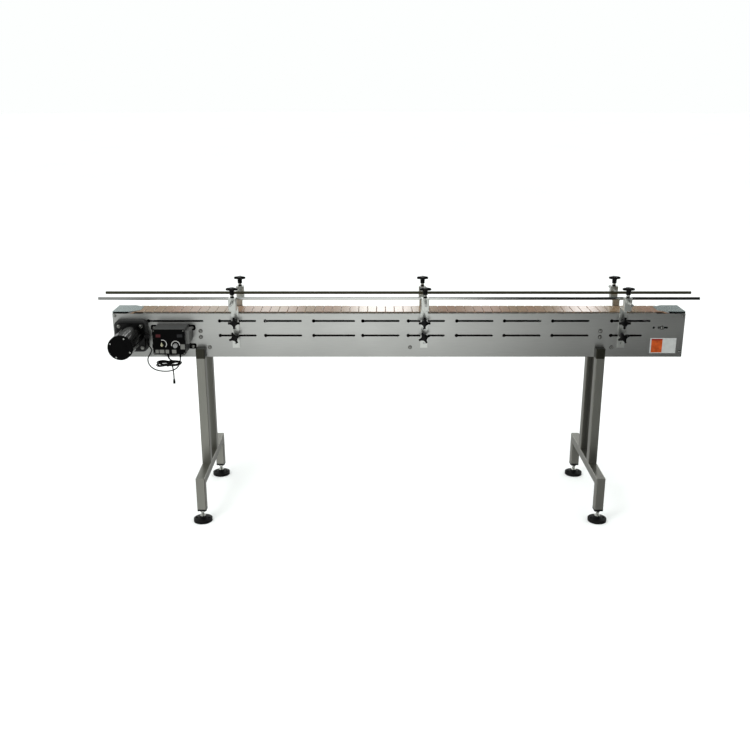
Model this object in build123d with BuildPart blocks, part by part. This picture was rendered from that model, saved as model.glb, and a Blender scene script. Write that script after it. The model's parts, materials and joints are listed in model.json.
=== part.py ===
# Table-top chain conveyor: a slat chain between two sheet metal side plates,
# carried by two leg frames, with two adjustable guide rails above the chain.
# x runs along the conveyor, with the drive at the low end. y runs across it,
# with the controls at the low side. z is up and the floor is at zero.
import math
import os

from build123d import *

os.makedirs("parts", exist_ok=True)

# Driving sizes of the whole conveyor
frame_length = 2438.4
frame_width = 126.5
frame_height = 191.1
belt_top = 883.2
sheet = 2.5
overrun = 5.0
running_fit = 0.05
loose_fit = 0.25
seat_gap = 0.3

# Slat chain
link_pitch = 38.1
link_width = 114.3
slat_thickness = 4.0
slat_gap = 1.0
slat_corner = 3.0
pin_depth = 6.4
pin_radius = 1.6
pin_length = 41.0
knuckle_radius = 3.4
knuckle_reach = 21.0
knuckle_half = 10.0
knuckle_gap = 0.4
web_reach = 5.8
tooth_count = 10
hub_relief = 1.0
end_room = 95.25

# Chain tracks
strip_height = 2.4
strip_width = 16.0
top_flange = 25.0
bottom_flange = 15.0
flange_end_room = 116.8
bottom_flange_end_room = 112.0
leg_notch = 64.0

# Sprockets, shafts and bearings
sprocket_width = 38.0
sprocket_clearance = 0.6
pocket_radius = 7.2
hub_radius = 30.0
hub_length = 52.0
lightening_radius = 7.0
lightening_circle = 40.0
lightening_count = 5
shaft_radius = 10.0
key_width = 6.0
key_height = 6.0
bearing_block_length = 12.0
bearing_ring_radius = 19.0
bearing_bolt_room = 8.0
tail_bearing_radius = 17.0
tail_bearing_length = 11.0

# Return rollers
roller_radius = 19.0
roller_length = 113.0
axle_radius = 4.0
roller_shares = [-0.33301, 0.01993, 0.37492]

# Slots in the side plates, as shares of the frame length: centre of the round
# end and the far end of each slot
slot_height = 8.5
slot_eye_radius = 7.3
slot_rise = 159.1
slot_spacing = 64.0
slot_shares = [
    (-0.43770, -0.34190),
    (-0.31344, -0.24963),
    (-0.23355, -0.16974),
    (-0.14911, -0.07657),
    (-0.06311, 0.00119),
    (0.01657, 0.08058),
    (0.10117, 0.16536),
    (0.18475, 0.24889),
    (0.26899, 0.33317),
    (0.37213, 0.43980),
]
last_slot_cut = 31.5
take_up_slot_start = 18.5
take_up_slot_end = 25.5
spare_hole_radius = 5.0
spare_hole_offset = 35.1

# End covers
cover_sheet = 1.5
cover_gap = 5.25
cover_side_length = 72.0
tongue_half_width = 34.0
tongue_reach = 17.5
cover_skirt = 176.0
cover_tab = 17.0
cover_tab_inset = 1.6
cover_screw_inset = 10.2
cover_screw_top = 9.5
cover_screw_bottom = 167.5

# Guide rails and their brackets
rail_radius = 6.0
rail_overhang = 54.3
rail_side = 57.0
rail_height = 941.0
rod_radius = 6.0
rod_end_side = 190.0
spigot_radius = 3.0
spigot_length = 8.0
bracket_shares = [-0.28601, 0.04409, 0.39079]
bracket_width = 30.5
bracket_thickness = 4.0
bracket_bottom = 727.5
shelf_side = 132.0
shelf_top = 907.0
bracket_hole_radius = 4.5
bracket_hole_spacing = 32.0
clamp_length = 32.0
clamp_depth = 26.0
clamp_height = 51.0
clamp_side = 118.0
clamp_edge = 2.0
clamp_screw_radius = 3.0
clamp_screw_spacing = 18.0
clamp_screw_depth = 14.0
clamp_screw_head_radius = 5.0
clamp_screw_head = 4.0

# Star knobs
star_radius = 25.0
star_thickness = 13.0
star_lobes = 4
star_hollow_radius = 13.5
star_hollow_circle = 26.5
star_edge = 2.5
knob_neck_radius = 10.0
knob_neck_length = 17.5
knob_collar_radius = 8.5
knob_collar_length = 12.5
knob_stud_radius = 4.0
side_knob_neck = 30.0
side_knob_turn = 25.0
nut_plate = 17.0
nut_plate_thickness = 5.0

# Leg frames
tube = 38.1
tube_wall = 2.5
tube_corner = 3.0
column_gap = 0.25
column_top = 730.0
beam_top = 205.0
foot_spread = 501.0
short_leg_bottom = 60.0
left_leg_inset = 371.2
right_leg_inset = 357.2
cap_thickness = 3.0
plug_flange = 8.0
plug_depth = 18.0

# Cross members between the side plates
tie_shares = [-0.24159, 0.00888, 0.25894]
tie_size = 30.0
tie_wall = 2.0
tie_height = 812.5
saddle_width = 50.0
saddle_sheet = 3.0
saddle_rise = 126.0
saddle_lift = 4.6

# Levelling feet
pad_radius = 40.0
pad_thickness = 12.0
pad_dome = 5.0
pad_hub_radius = 15.0
pad_hub_height = 11.0
ball_radius = 8.5
ball_centre = 19.0
stud_radius = 6.0
stud_top = 150.0
foot_nut = 11.0
foot_nut_height = 10.0
pad_bolt_radius = 4.5
pad_bolt_height = 3.0
pad_bolt_circle = 27.0

# Bolts
bolt_radius = 4.0
bolt_head = 7.5
bolt_head_height = 5.0
small_bolt_radius = 3.0
small_bolt_head = 5.5
small_bolt_head_height = 3.2
thin_head_height = 2.4
leg_bolt_heights = [115.0, 88.0]
column_bolt_height = 24.0
column_bolt_length = 22.0
axle_head = 7.0

# Gearmotor
motor_shift = -10.55
motor_drop = 27.15
case_size = 137.0
case_corner = 24.0
case_wall = 4.0
case_depth = 26.5
case_shift = -3.5
case_drop = 2.0
case_cover = 4.8
case_joint = 0.2
case_bolt_spacing = 112.0
case_boss_radius = 9.0
gear_shaft_radius = 5.0
gear_shaft_seat = 2.5
motor_flange_size = 115.0
motor_flange_corner = 12.0
motor_flange_depth = 20.0
motor_bolt_spacing = 94.0
motor_radius = 51.0
motor_wall = 4.0
motor_length = 161.0
motor_cap_depth = 14.0
motor_cap_edge = 3.0
cap_screw_sink = 2.0
motor_pilot_radius = 16.0
cap_bolt_circle = 44.0
rotor_radius = 27.0
rotor_length = 70.0
stator_radius = 27.6
stator_length = 64.0
rotor_shaft_radius = 6.0
motor_bearing_radius = 14.0
motor_bearing_width = 9.0

# Gears between the motor and the drive shaft
pressure_angle = 25.0
pinion_teeth = 12
wheel_teeth = 60
fast_module = 1.0
fast_face = 8.0
small_teeth = 14
output_teeth = 50
slow_module = 1.25
slow_face = 9.0
gear_backlash = 0.12
slow_gear_gap = 2.0
fast_gear_gap = 2.0
tooth_steps = 3

# Control box
box_inset = 255.7
box_height = 779.0
box_width = 135.0
box_tall = 108.0
box_depth = 94.0
box_wall = 3.0
box_corner = 4.0
box_plate = 3.0
box_plate_width = 190.0
box_plate_tall = 102.0
box_plate_corner = 8.0
box_cover = 4.0
box_joint = 0.2
ear_spacing_x = 163.0
ear_spacing_z = 82.0
ear_drop = 4.0
fin_count = 8
fin_thickness = 2.0
fin_spacing = 9.5
fin_reach = 12.0
fin_tall = 56.0
fin_rise = 16.0
fin_base = 3.0
dial_share_x = 0.204
dial_share_z = -0.13
switch_share_x = -0.2
switch_share_z = -0.09
dial_radius = 9.0
dial_length = 13.0
dial_pointer = 1.6
dial_shaft_radius = 3.0
dial_shaft_reach = 14.0
switch_base_radius = 8.0
switch_base_height = 4.0
switch_radius = 5.5
switch_length = 10.0
switch_lever = 5.0
switch_lever_length = 17.0
label_thickness = 0.3
face_label_shares = [
    (-0.393, -0.247, 0.19, 0.31),
    (0.26, 0.427, 0.19, 0.31),
    (-0.433, -0.333, -0.45, -0.306),
    (-0.307, -0.16, -0.45, -0.306),
    (-0.12, -0.013, -0.45, -0.306),
    (0.08, 0.213, -0.45, -0.306),
    (0.353, 0.487, -0.29, -0.09),
]
plate_label_shares = (0.4425, 0.4884)
plate_label_low = 16.6
plate_label_high = 83.6
face_screw_radius = 1.5
face_screw_head = 2.75
face_screw_height = 1.6
face_screw_inset = 5.5
face_screw_length = 10.0

# Cords
cord_radius = 2.5
cord_gap = 0.6
gland_nut = 8.5
gland_nut_length = 7.0
gland_cap_radius = 6.5
gland_cap_length = 6.0
gland_spigot_radius = 5.0
gland_spigot_length = 6.0
lead_block = 16.0
lead_block_height = 15.0
lead_exit_offset = 29.5
lead_exit_side = 95.0
supply_exit_offset = -19.1
supply_exit_side = 110.0
motor_lead_points = [
    (-1068.0, -104.75, 769.0),
    (-1068.0, -104.75, 757.5),
    (-1062.5, -104.3, 746.0),
    (-1051.0, -103.5, 728.0),
    (-1060.5, -103.0, 710.0),
    (-1072.0, -102.0, 693.0),
    (-1073.5, -101.0, 671.5),
    (-1063.0, -100.0, 651.0),
    (-1044.0, -99.0, 637.5),
    (-1017.0, -98.0, 631.0),
    (-986.0, -97.0, 630.5),
    (-958.0, -96.0, 639.0),
    (-941.0, -95.5, 658.0),
    (-934.0, -95.0, 686.5),
    (-934.0, -95.0, 712.0),
]
supply_lead_points = [
    (-982.6, -110.0, 712.0),
    (-982.6, -110.0, 699.5),
    (-977.5, -110.0, 687.5),
    (-967.3, -110.0, 681.8),
    (-956.3, -110.0, 681.8),
]
supply_tail_points = [
    (-993.3, -110.0, 676.2),
    (-982.5, -110.0, 676.2),
    (-972.5, -110.5, 669.5),
    (-967.0, -111.5, 657.5),
    (-965.0, -112.0, 641.0),
    (-964.0, -112.0, 621.0),
    (-964.0, -112.0, 601.5),
]
hank_centre = (-974.8, -140.0, 679.0)
hank_run = 47.0
hank_fold = 15.5
hank_step = 5.8
hank_turns = 3
waist_draw = 5.0
waist_step_ratio = 1.1
tie_band = 1.2
tie_band_width = 5.0
plug_top_radius = 3.4
plug_radius = 5.0
plug_length = 21.0
plug_bore_radius = 1.3
plug_bore_depth = 10.0

# Places worked out from the driving sizes
half_length = frame_length / 2
outer_side = frame_width / 2
inner_side = outer_side - sheet
link_count = round((frame_length - 2 * end_room) / link_pitch)
shaft_x = link_count * link_pitch / 2
pitch_radius = link_pitch / (2 * math.sin(math.pi / tooth_count))
pin_line = belt_top - pin_depth
shaft_height = pin_line - pitch_radius
return_line = shaft_height - pitch_radius
slat_underside = pin_depth - slat_thickness
frame_top = belt_top - slat_thickness - seat_gap - strip_height
frame_bottom = frame_top - frame_height
flange_low = -(half_length - flange_end_room - top_flange / 2)
flange_high = half_length - flange_end_room - top_flange / 4
roller_height = return_line - pin_depth - seat_gap - roller_radius
upper_slots = frame_bottom + slot_rise
lower_slots = upper_slots - slot_spacing
left_leg = -half_length + left_leg_inset
right_leg = half_length - right_leg_inset
motor_x = -shaft_x + motor_shift
motor_z = shaft_height - motor_drop
case_x = motor_x + case_shift
case_z = motor_z - case_drop
case_front = outer_side + case_depth
cover_back = case_front + case_joint
cover_front = cover_back + case_cover
flange_front = cover_front + motor_flange_depth
box_x = -half_length + box_inset
box_front = outer_side + box_plate + box_depth
face_front = box_front + box_joint + box_cover


def box_between(low, high, mode=Mode.ADD):
    """A block between its lowest and its highest corner."""
    centre = [(a + b) / 2 for a, b in zip(low, high)]
    with Locations(tuple(centre)):
        Box(*[b - a for a, b in zip(low, high)], mode=mode)


def rod_across(x, z, radius, y_from, y_to, mode=Mode.ADD):
    """A round bar along y."""
    middle = (y_from + y_to) / 2
    with Locations(Location((x, middle, z), (90, 0, 0))):
        Cylinder(radius, abs(y_to - y_from), mode=mode)


def rod_up(x, y, radius, z_from, z_to, mode=Mode.ADD):
    """A round bar along z."""
    with Locations((x, y, (z_from + z_to) / 2)):
        Cylinder(radius, abs(z_to - z_from), mode=mode)


def across(y):
    """The plane square to y, with x to the right and z up."""
    return Plane.XZ.offset(-y)


def hex_bar(x, z, half_flats, y_from, y_to):
    """A hexagonal bar along y, for bolt heads and nuts."""
    with BuildSketch(across(y_from)) as hexagon:
        with Locations((x, z)):
            RegularPolygon(half_flats, 6, major_radius=False)
    extrude(hexagon.sketch, amount=y_from - y_to)


def star_outline(turn=0):
    """The four-lobed outline of a hand knob, turned about its middle."""
    Circle(star_radius)
    first_hollow = 180 / star_lobes + turn
    with PolarLocations(star_hollow_circle, star_lobes, start_angle=first_hollow):
        Circle(star_hollow_radius, mode=Mode.SUBTRACT)


# One link of the chain, with its pin line at the origin
knuckle_relief = knuckle_radius + knuckle_gap
half_pitch = link_pitch / 2
half_slat = half_pitch - slat_gap / 2
with BuildPart() as link:
    with BuildSketch(Plane.XY.offset(slat_underside)):
        Rectangle(2 * half_slat, link_width)
        chamfer(vertices(), slat_corner)
    extrude(amount=slat_thickness)
    relief_half = knuckle_reach + knuckle_gap
    for side in (-half_pitch, half_pitch):
        rod_across(side, 0, knuckle_relief, -relief_half, relief_half, Mode.SUBTRACT)
    spans = [
        (-1, -knuckle_half + knuckle_gap / 2, knuckle_half - knuckle_gap / 2),
        (1, knuckle_half + knuckle_gap / 2, knuckle_reach),
        (1, -knuckle_reach, -knuckle_half - knuckle_gap / 2),
    ]
    for end, y_low, y_high in spans:
        pin_x = end * half_pitch
        inner_x = pin_x - end * web_reach
        rod_across(pin_x, 0, knuckle_radius, y_low, y_high)
        low = (min(pin_x, inner_x), y_low, -knuckle_radius)
        high = (max(pin_x, inner_x), y_high, slat_underside)
        box_between(low, high)
        rod_across(pin_x, 0, pin_radius + running_fit, y_low, y_high, Mode.SUBTRACT)

# A chain pin at the origin
with BuildPart() as chain_pin:
    rod_across(0, 0, pin_radius, -pin_length / 2, pin_length / 2)

# Top run of the chain: its links, and a pin at every joint
first_link = -shaft_x + half_pitch
with BuildPart() as belt_top_run:
    with Locations(*[(first_link + i * link_pitch, 0, pin_line) for i in range(link_count)]):
        add(link.part, clean=False)
    with Locations(*[(-shaft_x + i * link_pitch, 0, pin_line) for i in range(link_count + 1)]):
        add(chain_pin.part, clean=False)
belt_top_run.part.label = "belt_top_run"
export_step(belt_top_run.part, "parts/belt_top_run.step")

# Return run, upside down below the shafts
with BuildPart() as belt_return_run:
    places = [first_link + i * link_pitch for i in range(link_count)]
    with Locations(*[Location((x, 0, return_line), (0, 180, 0)) for x in places]):
        add(link.part, clean=False)
    with Locations(*[(-shaft_x + i * link_pitch, 0, return_line) for i in range(link_count + 1)]):
        add(chain_pin.part, clean=False)
belt_return_run.part.label = "belt_return_run"
export_step(belt_return_run.part, "parts/belt_return_run.step")

# Links and pins that lie round each sprocket
tooth_angle = 360 / tooth_count
wrap_links = tooth_count // 2
chord_radius = pitch_radius * math.cos(math.pi / tooth_count)


def wrap_places(centre_x, turn):
    """Link places round one sprocket, from its top pin down its outer side."""
    places = []
    for i in range(wrap_links):
        angle = turn * (i + 0.5) * tooth_angle
        x = centre_x + chord_radius * math.sin(math.radians(angle))
        z = shaft_height + chord_radius * math.cos(math.radians(angle))
        places.append(Location((x, 0, z), (0, angle, 0)))
    return places


def wrap_pins(centre_x, turn):
    """Pin places between the links round one sprocket."""
    places = []
    for i in range(1, wrap_links):
        angle = math.radians(turn * i * tooth_angle)
        x = centre_x + pitch_radius * math.sin(angle)
        z = shaft_height + pitch_radius * math.cos(angle)
        places.append((x, 0, z))
    return places


with BuildPart() as belt_drive_wrap:
    with Locations(*wrap_places(-shaft_x, -1)):
        add(link.part, clean=False)
    with Locations(*wrap_pins(-shaft_x, -1)):
        add(chain_pin.part, clean=False)
belt_drive_wrap.part.label = "belt_drive_wrap"
export_step(belt_drive_wrap.part, "parts/belt_drive_wrap.step")

with BuildPart() as belt_tail_wrap:
    with Locations(*wrap_places(shaft_x, 1)):
        add(link.part, clean=False)
    with Locations(*wrap_pins(shaft_x, 1)):
        add(chain_pin.part, clean=False)
belt_tail_wrap.part.label = "belt_tail_wrap"
export_step(belt_tail_wrap.part, "parts/belt_tail_wrap.step")


# Side plates: the shape that both share, made at the front
lower_slot_shares = slot_shares[1:]
with BuildPart() as plate_blank:
    with BuildSketch(across(-inner_side)):
        with Locations((0, frame_bottom + frame_height / 2)):
            Rectangle(frame_length, frame_height)
    extrude(amount=sheet)
    rows = [(upper_slots, share) for share in slot_shares]
    rows += [(lower_slots, share) for share in lower_slot_shares]
    with BuildSketch(across(-inner_side)):
        for height, (start_share, end_share) in rows:
            start = start_share * frame_length
            end = end_share * frame_length - slot_height / 2
            if height == lower_slots and end_share == slot_shares[-1][1]:
                end -= last_slot_cut
            with Locations((start, height)):
                Circle(slot_eye_radius)
            with Locations(((start + end) / 2, height)):
                SlotCenterToCenter(end - start, slot_height)
        with Locations((shaft_x - spare_hole_offset, shaft_height)):
            Circle(spare_hole_radius)
        slot_middle = shaft_x + (take_up_slot_end - take_up_slot_start) / 2
        with Locations((slot_middle, shaft_height)):
            SlotOverall(take_up_slot_start + take_up_slot_end, slot_height)
    extrude(amount=sheet, mode=Mode.SUBTRACT)
    flange_low_corner = (flange_low, -inner_side - sheet / 2, frame_top - sheet)
    box_between(flange_low_corner, (flange_high, -outer_side + top_flange, frame_top))
    lower_ends = half_length - bottom_flange_end_room
    notches = [
        (-lower_ends, left_leg - leg_notch / 2),
        (left_leg + leg_notch / 2, right_leg - leg_notch / 2),
        (right_leg + leg_notch / 2, lower_ends),
    ]
    for low_x, high_x in notches:
        low = (low_x, -inner_side - sheet / 2, frame_bottom)
        box_between(low, (high_x, -outer_side + bottom_flange, frame_bottom + sheet))
    hole = bolt_radius + loose_fit
    cut_from = -outer_side - overrun
    cut_to = -inner_side + overrun
    for share in roller_shares:
        rod_across(share * frame_length, roller_height, hole, cut_from, cut_to, Mode.SUBTRACT)
    for leg_x in (left_leg, right_leg):
        for rise in leg_bolt_heights + [column_bolt_height]:
            rod_across(leg_x, frame_bottom + rise, hole, cut_from, cut_to, Mode.SUBTRACT)
    small_hole = small_bolt_radius + loose_fit
    for end in (-1, 1):
        for drop in (cover_screw_top, cover_screw_bottom):
            x = end * (half_length - cover_screw_inset)
            rod_across(x, frame_top - drop, small_hole, cut_from, cut_to, Mode.SUBTRACT)

# Where the flange bearings and the gearmotor bolt on
bearing_bolt_circle = bearing_ring_radius + bearing_bolt_room
bearing_bolts = [
    (-shaft_x + end * bearing_bolt_circle, shaft_height) for end in (-1, 1)
]
half_case_bolts = case_bolt_spacing / 2
case_bolts = [
    (case_x + i * half_case_bolts, case_z + j * half_case_bolts)
    for i in (-1, 1)
    for j in (-1, 1)
]
ear_bolts = [
    (box_x + i * ear_spacing_x / 2, box_height - ear_drop + j * ear_spacing_z / 2)
    for i in (-1, 1)
    for j in (-1, 1)
]

with BuildPart() as front_side_plate:
    add(plate_blank.part)
    rod_across(-shaft_x, shaft_height, shaft_radius + sheet, cut_from, cut_to, Mode.SUBTRACT)
    for x, z in bearing_bolts + case_bolts + ear_bolts:
        rod_across(x, z, small_hole, cut_from, cut_to, Mode.SUBTRACT)
front_side_plate.part.label = "front_side_plate"
export_step(front_side_plate.part, "parts/front_side_plate.step")

with BuildPart() as rear_side_plate:
    mirror(plate_blank.part, about=Plane.XZ)
    for x, z in bearing_bolts:
        rod_across(x, z, small_hole, -cut_to, -cut_from, Mode.SUBTRACT)
rear_side_plate.part.label = "rear_side_plate"
export_step(rear_side_plate.part, "parts/rear_side_plate.step")

# Wear strips that the chain slides on
with BuildPart() as wear_strips:
    strip_outer = link_width / 2 - slat_corner / 2
    for side in (-1, 1):
        edges_y = sorted((side * strip_outer, side * (strip_outer - strip_width)))
        low = (flange_low, edges_y[0], frame_top)
        box_between(low, (flange_high, edges_y[1], frame_top + strip_height))
wear_strips.part.label = "wear_strips"
export_step(wear_strips.part, "parts/wear_strips.step")


def end_cover(end):
    """The cover over one end of the chain: a top with a tongue, an end and two tabs."""
    end_x = end * half_length
    top_under = belt_top + seat_gap
    half_top = outer_side - cover_gap
    side_x = end_x - end * cover_side_length
    tongue_x = end * (shaft_x - tongue_reach)
    with BuildSketch(Plane.XY.offset(top_under)) as top:
        with BuildLine():
            Polyline(
                (end_x, -half_top),
                (side_x, -half_top),
                (tongue_x, -tongue_half_width),
                (tongue_x, tongue_half_width),
                (side_x, half_top),
                (end_x, half_top),
                close=True,
            )
        make_face()
    extrude(top.sketch, amount=cover_sheet)
    inner_x = end_x - end * cover_sheet
    skirt_low = frame_top - cover_skirt
    ends_x = sorted((end_x, inner_x))
    top_low = frame_top - cover_tab_inset
    box_between((ends_x[0], -half_top, top_low), (ends_x[1], half_top, top_under + cover_sheet))
    box_between((ends_x[0], -inner_side, skirt_low), (ends_x[1], inner_side, top_low))
    tabs_x = sorted((end_x, end_x - end * cover_tab))
    for side in (-1, 1):
        tab_y = sorted((side * inner_side, side * (inner_side - cover_sheet)))
        box_between((tabs_x[0], tab_y[0], skirt_low), (tabs_x[1], tab_y[1], top_low))
        for drop in (cover_screw_top, cover_screw_bottom):
            x = end * (half_length - cover_screw_inset)
            inner_y = tab_y[0] - overrun
            outer_y = tab_y[1] + overrun
            rod_across(x, frame_top - drop, small_hole, inner_y, outer_y, Mode.SUBTRACT)


with BuildPart() as left_end_cover:
    end_cover(-1)
left_end_cover.part.label = "left_end_cover"
export_step(left_end_cover.part, "parts/left_end_cover.step")

with BuildPart() as right_end_cover:
    end_cover(1)
right_end_cover.part.label = "right_end_cover"
export_step(right_end_cover.part, "parts/right_end_cover.step")

# Cross members: three tubes between the plates and a saddle over each leg frame
with BuildPart() as cross_members:
    for share in tie_shares:
        with BuildSketch(across(-inner_side)) as tie:
            with Locations((share * frame_length, tie_height)):
                RectangleRounded(tie_size, tie_size, tube_corner)
                inner_tie = tie_size - 2 * tie_wall
                RectangleRounded(inner_tie, inner_tie, tube_corner / 2, mode=Mode.SUBTRACT)
        extrude(tie.sketch, amount=-2 * inner_side)
    saddle_low = frame_bottom + saddle_lift
    for leg_x in (left_leg, right_leg):
        low_x = leg_x - saddle_width / 2
        high_x = leg_x + saddle_width / 2
        web_top = saddle_low + saddle_sheet
        box_between((low_x, -inner_side, saddle_low), (high_x, inner_side, web_top))
        for side in (-1, 1):
            tab_y = sorted((side * inner_side, side * (inner_side - saddle_sheet)))
            tab_top = frame_bottom + saddle_rise
            box_between((low_x, tab_y[0], saddle_low), (high_x, tab_y[1], tab_top))
            for rise in leg_bolt_heights + [column_bolt_height]:
                z = frame_bottom + rise
                rod_across(leg_x, z, hole, tab_y[0] - overrun, tab_y[1] + overrun, Mode.SUBTRACT)
cross_members.part.label = "cross_members"
export_step(cross_members.part, "parts/cross_members.step")


def sprocket_disc(centre_x):
    """A toothed disc with a pocket for every chain joint, and its hub."""
    tip_radius = chord_radius + slat_underside - sprocket_clearance
    with BuildSketch(across(-sprocket_width / 2)) as disc:
        with Locations((centre_x, shaft_height)):
            Circle(tip_radius)
            with PolarLocations(pitch_radius, tooth_count, start_angle=90):
                Circle(pocket_radius, mode=Mode.SUBTRACT)
            with PolarLocations(lightening_circle, lightening_count, start_angle=90):
                Circle(lightening_radius, mode=Mode.SUBTRACT)
    extrude(disc.sketch, amount=-sprocket_width)
    rod_across(centre_x, shaft_height, hub_radius, -hub_length / 2, hub_length / 2)


# Drive shaft from the gearbox to the rear bearing, with its key
output_gear_inner = outer_side + case_wall + slow_gear_gap
output_gear_outer = output_gear_inner + slow_face
shaft_start = -output_gear_outer - seat_gap
shaft_end = inner_side - seat_gap
key_bottom = shaft_height + shaft_radius - key_height / 2
key_half = hub_length / 2 - pin_depth
with BuildPart() as drive_shaft:
    rod_across(-shaft_x, shaft_height, shaft_radius, shaft_start, shaft_end)
    low = (-shaft_x - key_width / 2, -key_half, key_bottom)
    high = (-shaft_x + key_width / 2, key_half, shaft_height + shaft_radius + key_height / 2)
    box_between(low, high)
drive_shaft.part.label = "drive_shaft"
export_step(drive_shaft.part, "parts/drive_shaft.step")

with BuildPart() as drive_sprocket:
    sprocket_disc(-shaft_x)
    half_hub = hub_length / 2
    bore = shaft_radius + running_fit
    rod_across(-shaft_x, shaft_height, bore, -half_hub, half_hub, Mode.SUBTRACT)
    half_key = key_width / 2 + running_fit
    low = (-shaft_x - half_key, -half_hub, shaft_height)
    key_top = shaft_height + shaft_radius + key_height / 2 + running_fit
    box_between(low, (-shaft_x + half_key, half_hub, key_top), Mode.SUBTRACT)
drive_sprocket.part.label = "drive_sprocket"
export_step(drive_sprocket.part, "parts/drive_sprocket.step")

# Tail shaft, fixed between the plates, and the sprocket that turns on it
take_up_depth = 18.0
with BuildPart() as tail_shaft:
    tail_half = inner_side - running_fit
    rod_across(shaft_x, shaft_height, shaft_radius, -tail_half, tail_half)
    thread = bolt_radius + running_fit
    for side in (-1, 1):
        inner_y = side * (tail_half - take_up_depth)
        rod_across(shaft_x, shaft_height, thread, inner_y, side * tail_half, Mode.SUBTRACT)
tail_shaft.part.label = "tail_shaft"
export_step(tail_shaft.part, "parts/tail_shaft.step")

with BuildPart() as tail_sprocket:
    sprocket_disc(shaft_x)
    middle_bore = shaft_radius + hub_relief
    seat_start = half_hub - tail_bearing_length
    rod_across(shaft_x, shaft_height, middle_bore, -half_hub, half_hub, Mode.SUBTRACT)
    for side in (-1, 1):
        seat = (side * seat_start, side * half_hub)
        rod_across(shaft_x, shaft_height, tail_bearing_radius, *seat, Mode.SUBTRACT)
        ring = (side * (seat_start + seat_gap), side * half_hub)
        rod_across(shaft_x, shaft_height, tail_bearing_radius - running_fit, *ring)
        rod_across(shaft_x, shaft_height, bore, *ring, Mode.SUBTRACT)
tail_sprocket.part.label = "tail_sprocket"
export_step(tail_sprocket.part, "parts/tail_sprocket.step")

# Return rollers under the lower run
for name, share in zip(("left", "centre", "right"), roller_shares):
    with BuildPart() as return_roller:
        roller_x = share * frame_length
        half_roller = roller_length / 2
        rod_across(roller_x, roller_height, roller_radius, -half_roller, half_roller)
        fillet(return_roller.edges().filter_by(GeomType.CIRCLE), axle_radius / 2)
        roller_bore = axle_radius + 2 * running_fit
        rod_across(roller_x, roller_height, roller_bore, -half_roller, half_roller, Mode.SUBTRACT)
    return_roller.part.label = f"return_roller_{name}"
    export_step(return_roller.part, f"parts/return_roller_{name}.step")


def leg_frame(leg_x):
    """Two columns on a beam that turns down into two short legs."""
    half_tube = tube / 2
    inner_tube = tube - 2 * tube_wall
    half_spread = foot_spread / 2
    column_y = outer_side + column_gap + half_tube
    for side in (-1, 1):
        with BuildSketch(Plane.XY.offset(beam_top)) as column:
            with Locations((leg_x, side * column_y)):
                RectangleRounded(tube, tube, tube_corner)
                RectangleRounded(inner_tube, inner_tube, tube_wall / 2, mode=Mode.SUBTRACT)
        extrude(column.sketch, amount=column_top - beam_top - cap_thickness)
        with BuildSketch(Plane.XY.offset(column_top - cap_thickness)) as cap:
            with Locations((leg_x, side * column_y)):
                RectangleRounded(tube, tube, tube_corner)
        extrude(cap.sketch, amount=cap_thickness)
    beam_axis = beam_top - half_tube
    with BuildLine() as beam_path:
        Polyline(
            (leg_x, -half_spread, short_leg_bottom),
            (leg_x, -half_spread, beam_axis),
            (leg_x, half_spread, beam_axis),
            (leg_x, half_spread, short_leg_bottom),
        )
    with BuildSketch(Plane.XY.offset(short_leg_bottom)) as section:
        with Locations((leg_x, -half_spread)):
            RectangleRounded(tube, tube, tube_corner)
            RectangleRounded(inner_tube, inner_tube, tube_wall / 2, mode=Mode.SUBTRACT)
    sweep(section.sketch, path=beam_path.wires()[0], transition=Transition.RIGHT)
    for side in (-1, 1):
        wall_out = side * (outer_side + column_gap + tube_wall + overrun)
        wall_in = side * outer_side
        z = frame_bottom + column_bolt_height
        rod_across(leg_x, z, hole, wall_in, wall_out, Mode.SUBTRACT)


with BuildPart() as left_leg_frame:
    leg_frame(left_leg)
left_leg_frame.part.label = "left_leg_frame"
export_step(left_leg_frame.part, "parts/left_leg_frame.step")

with BuildPart() as right_leg_frame:
    leg_frame(right_leg)
right_leg_frame.part.label = "right_leg_frame"
export_step(right_leg_frame.part, "parts/right_leg_frame.step")

# Plugs in the open ends of the short legs, which the feet screw into
foot_places = [
    (leg_x, side * foot_spread / 2) for leg_x in (left_leg, right_leg) for side in (-1, 1)
]
with BuildPart() as leg_tube_plugs:
    plug_size = tube - 2 * tube_wall - 2 * seat_gap
    for x, y in foot_places:
        with BuildSketch(Plane.XY.offset(short_leg_bottom)) as plug_flange_face:
            with Locations((x, y)):
                RectangleRounded(tube, tube, tube_corner)
        extrude(plug_flange_face.sketch, amount=-plug_flange)
        with BuildSketch(Plane.XY.offset(short_leg_bottom)) as plug_body:
            with Locations((x, y)):
                RectangleRounded(plug_size, plug_size, tube_wall / 2)
        extrude(plug_body.sketch, amount=plug_depth)
        plug_low = short_leg_bottom - plug_flange
        plug_top = short_leg_bottom + plug_depth
        rod_up(x, y, stud_radius + running_fit, plug_low, plug_top, Mode.SUBTRACT)
leg_tube_plugs.part.label = "leg_tube_plugs"
export_step(leg_tube_plugs.part, "parts/leg_tube_plugs.step")

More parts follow.
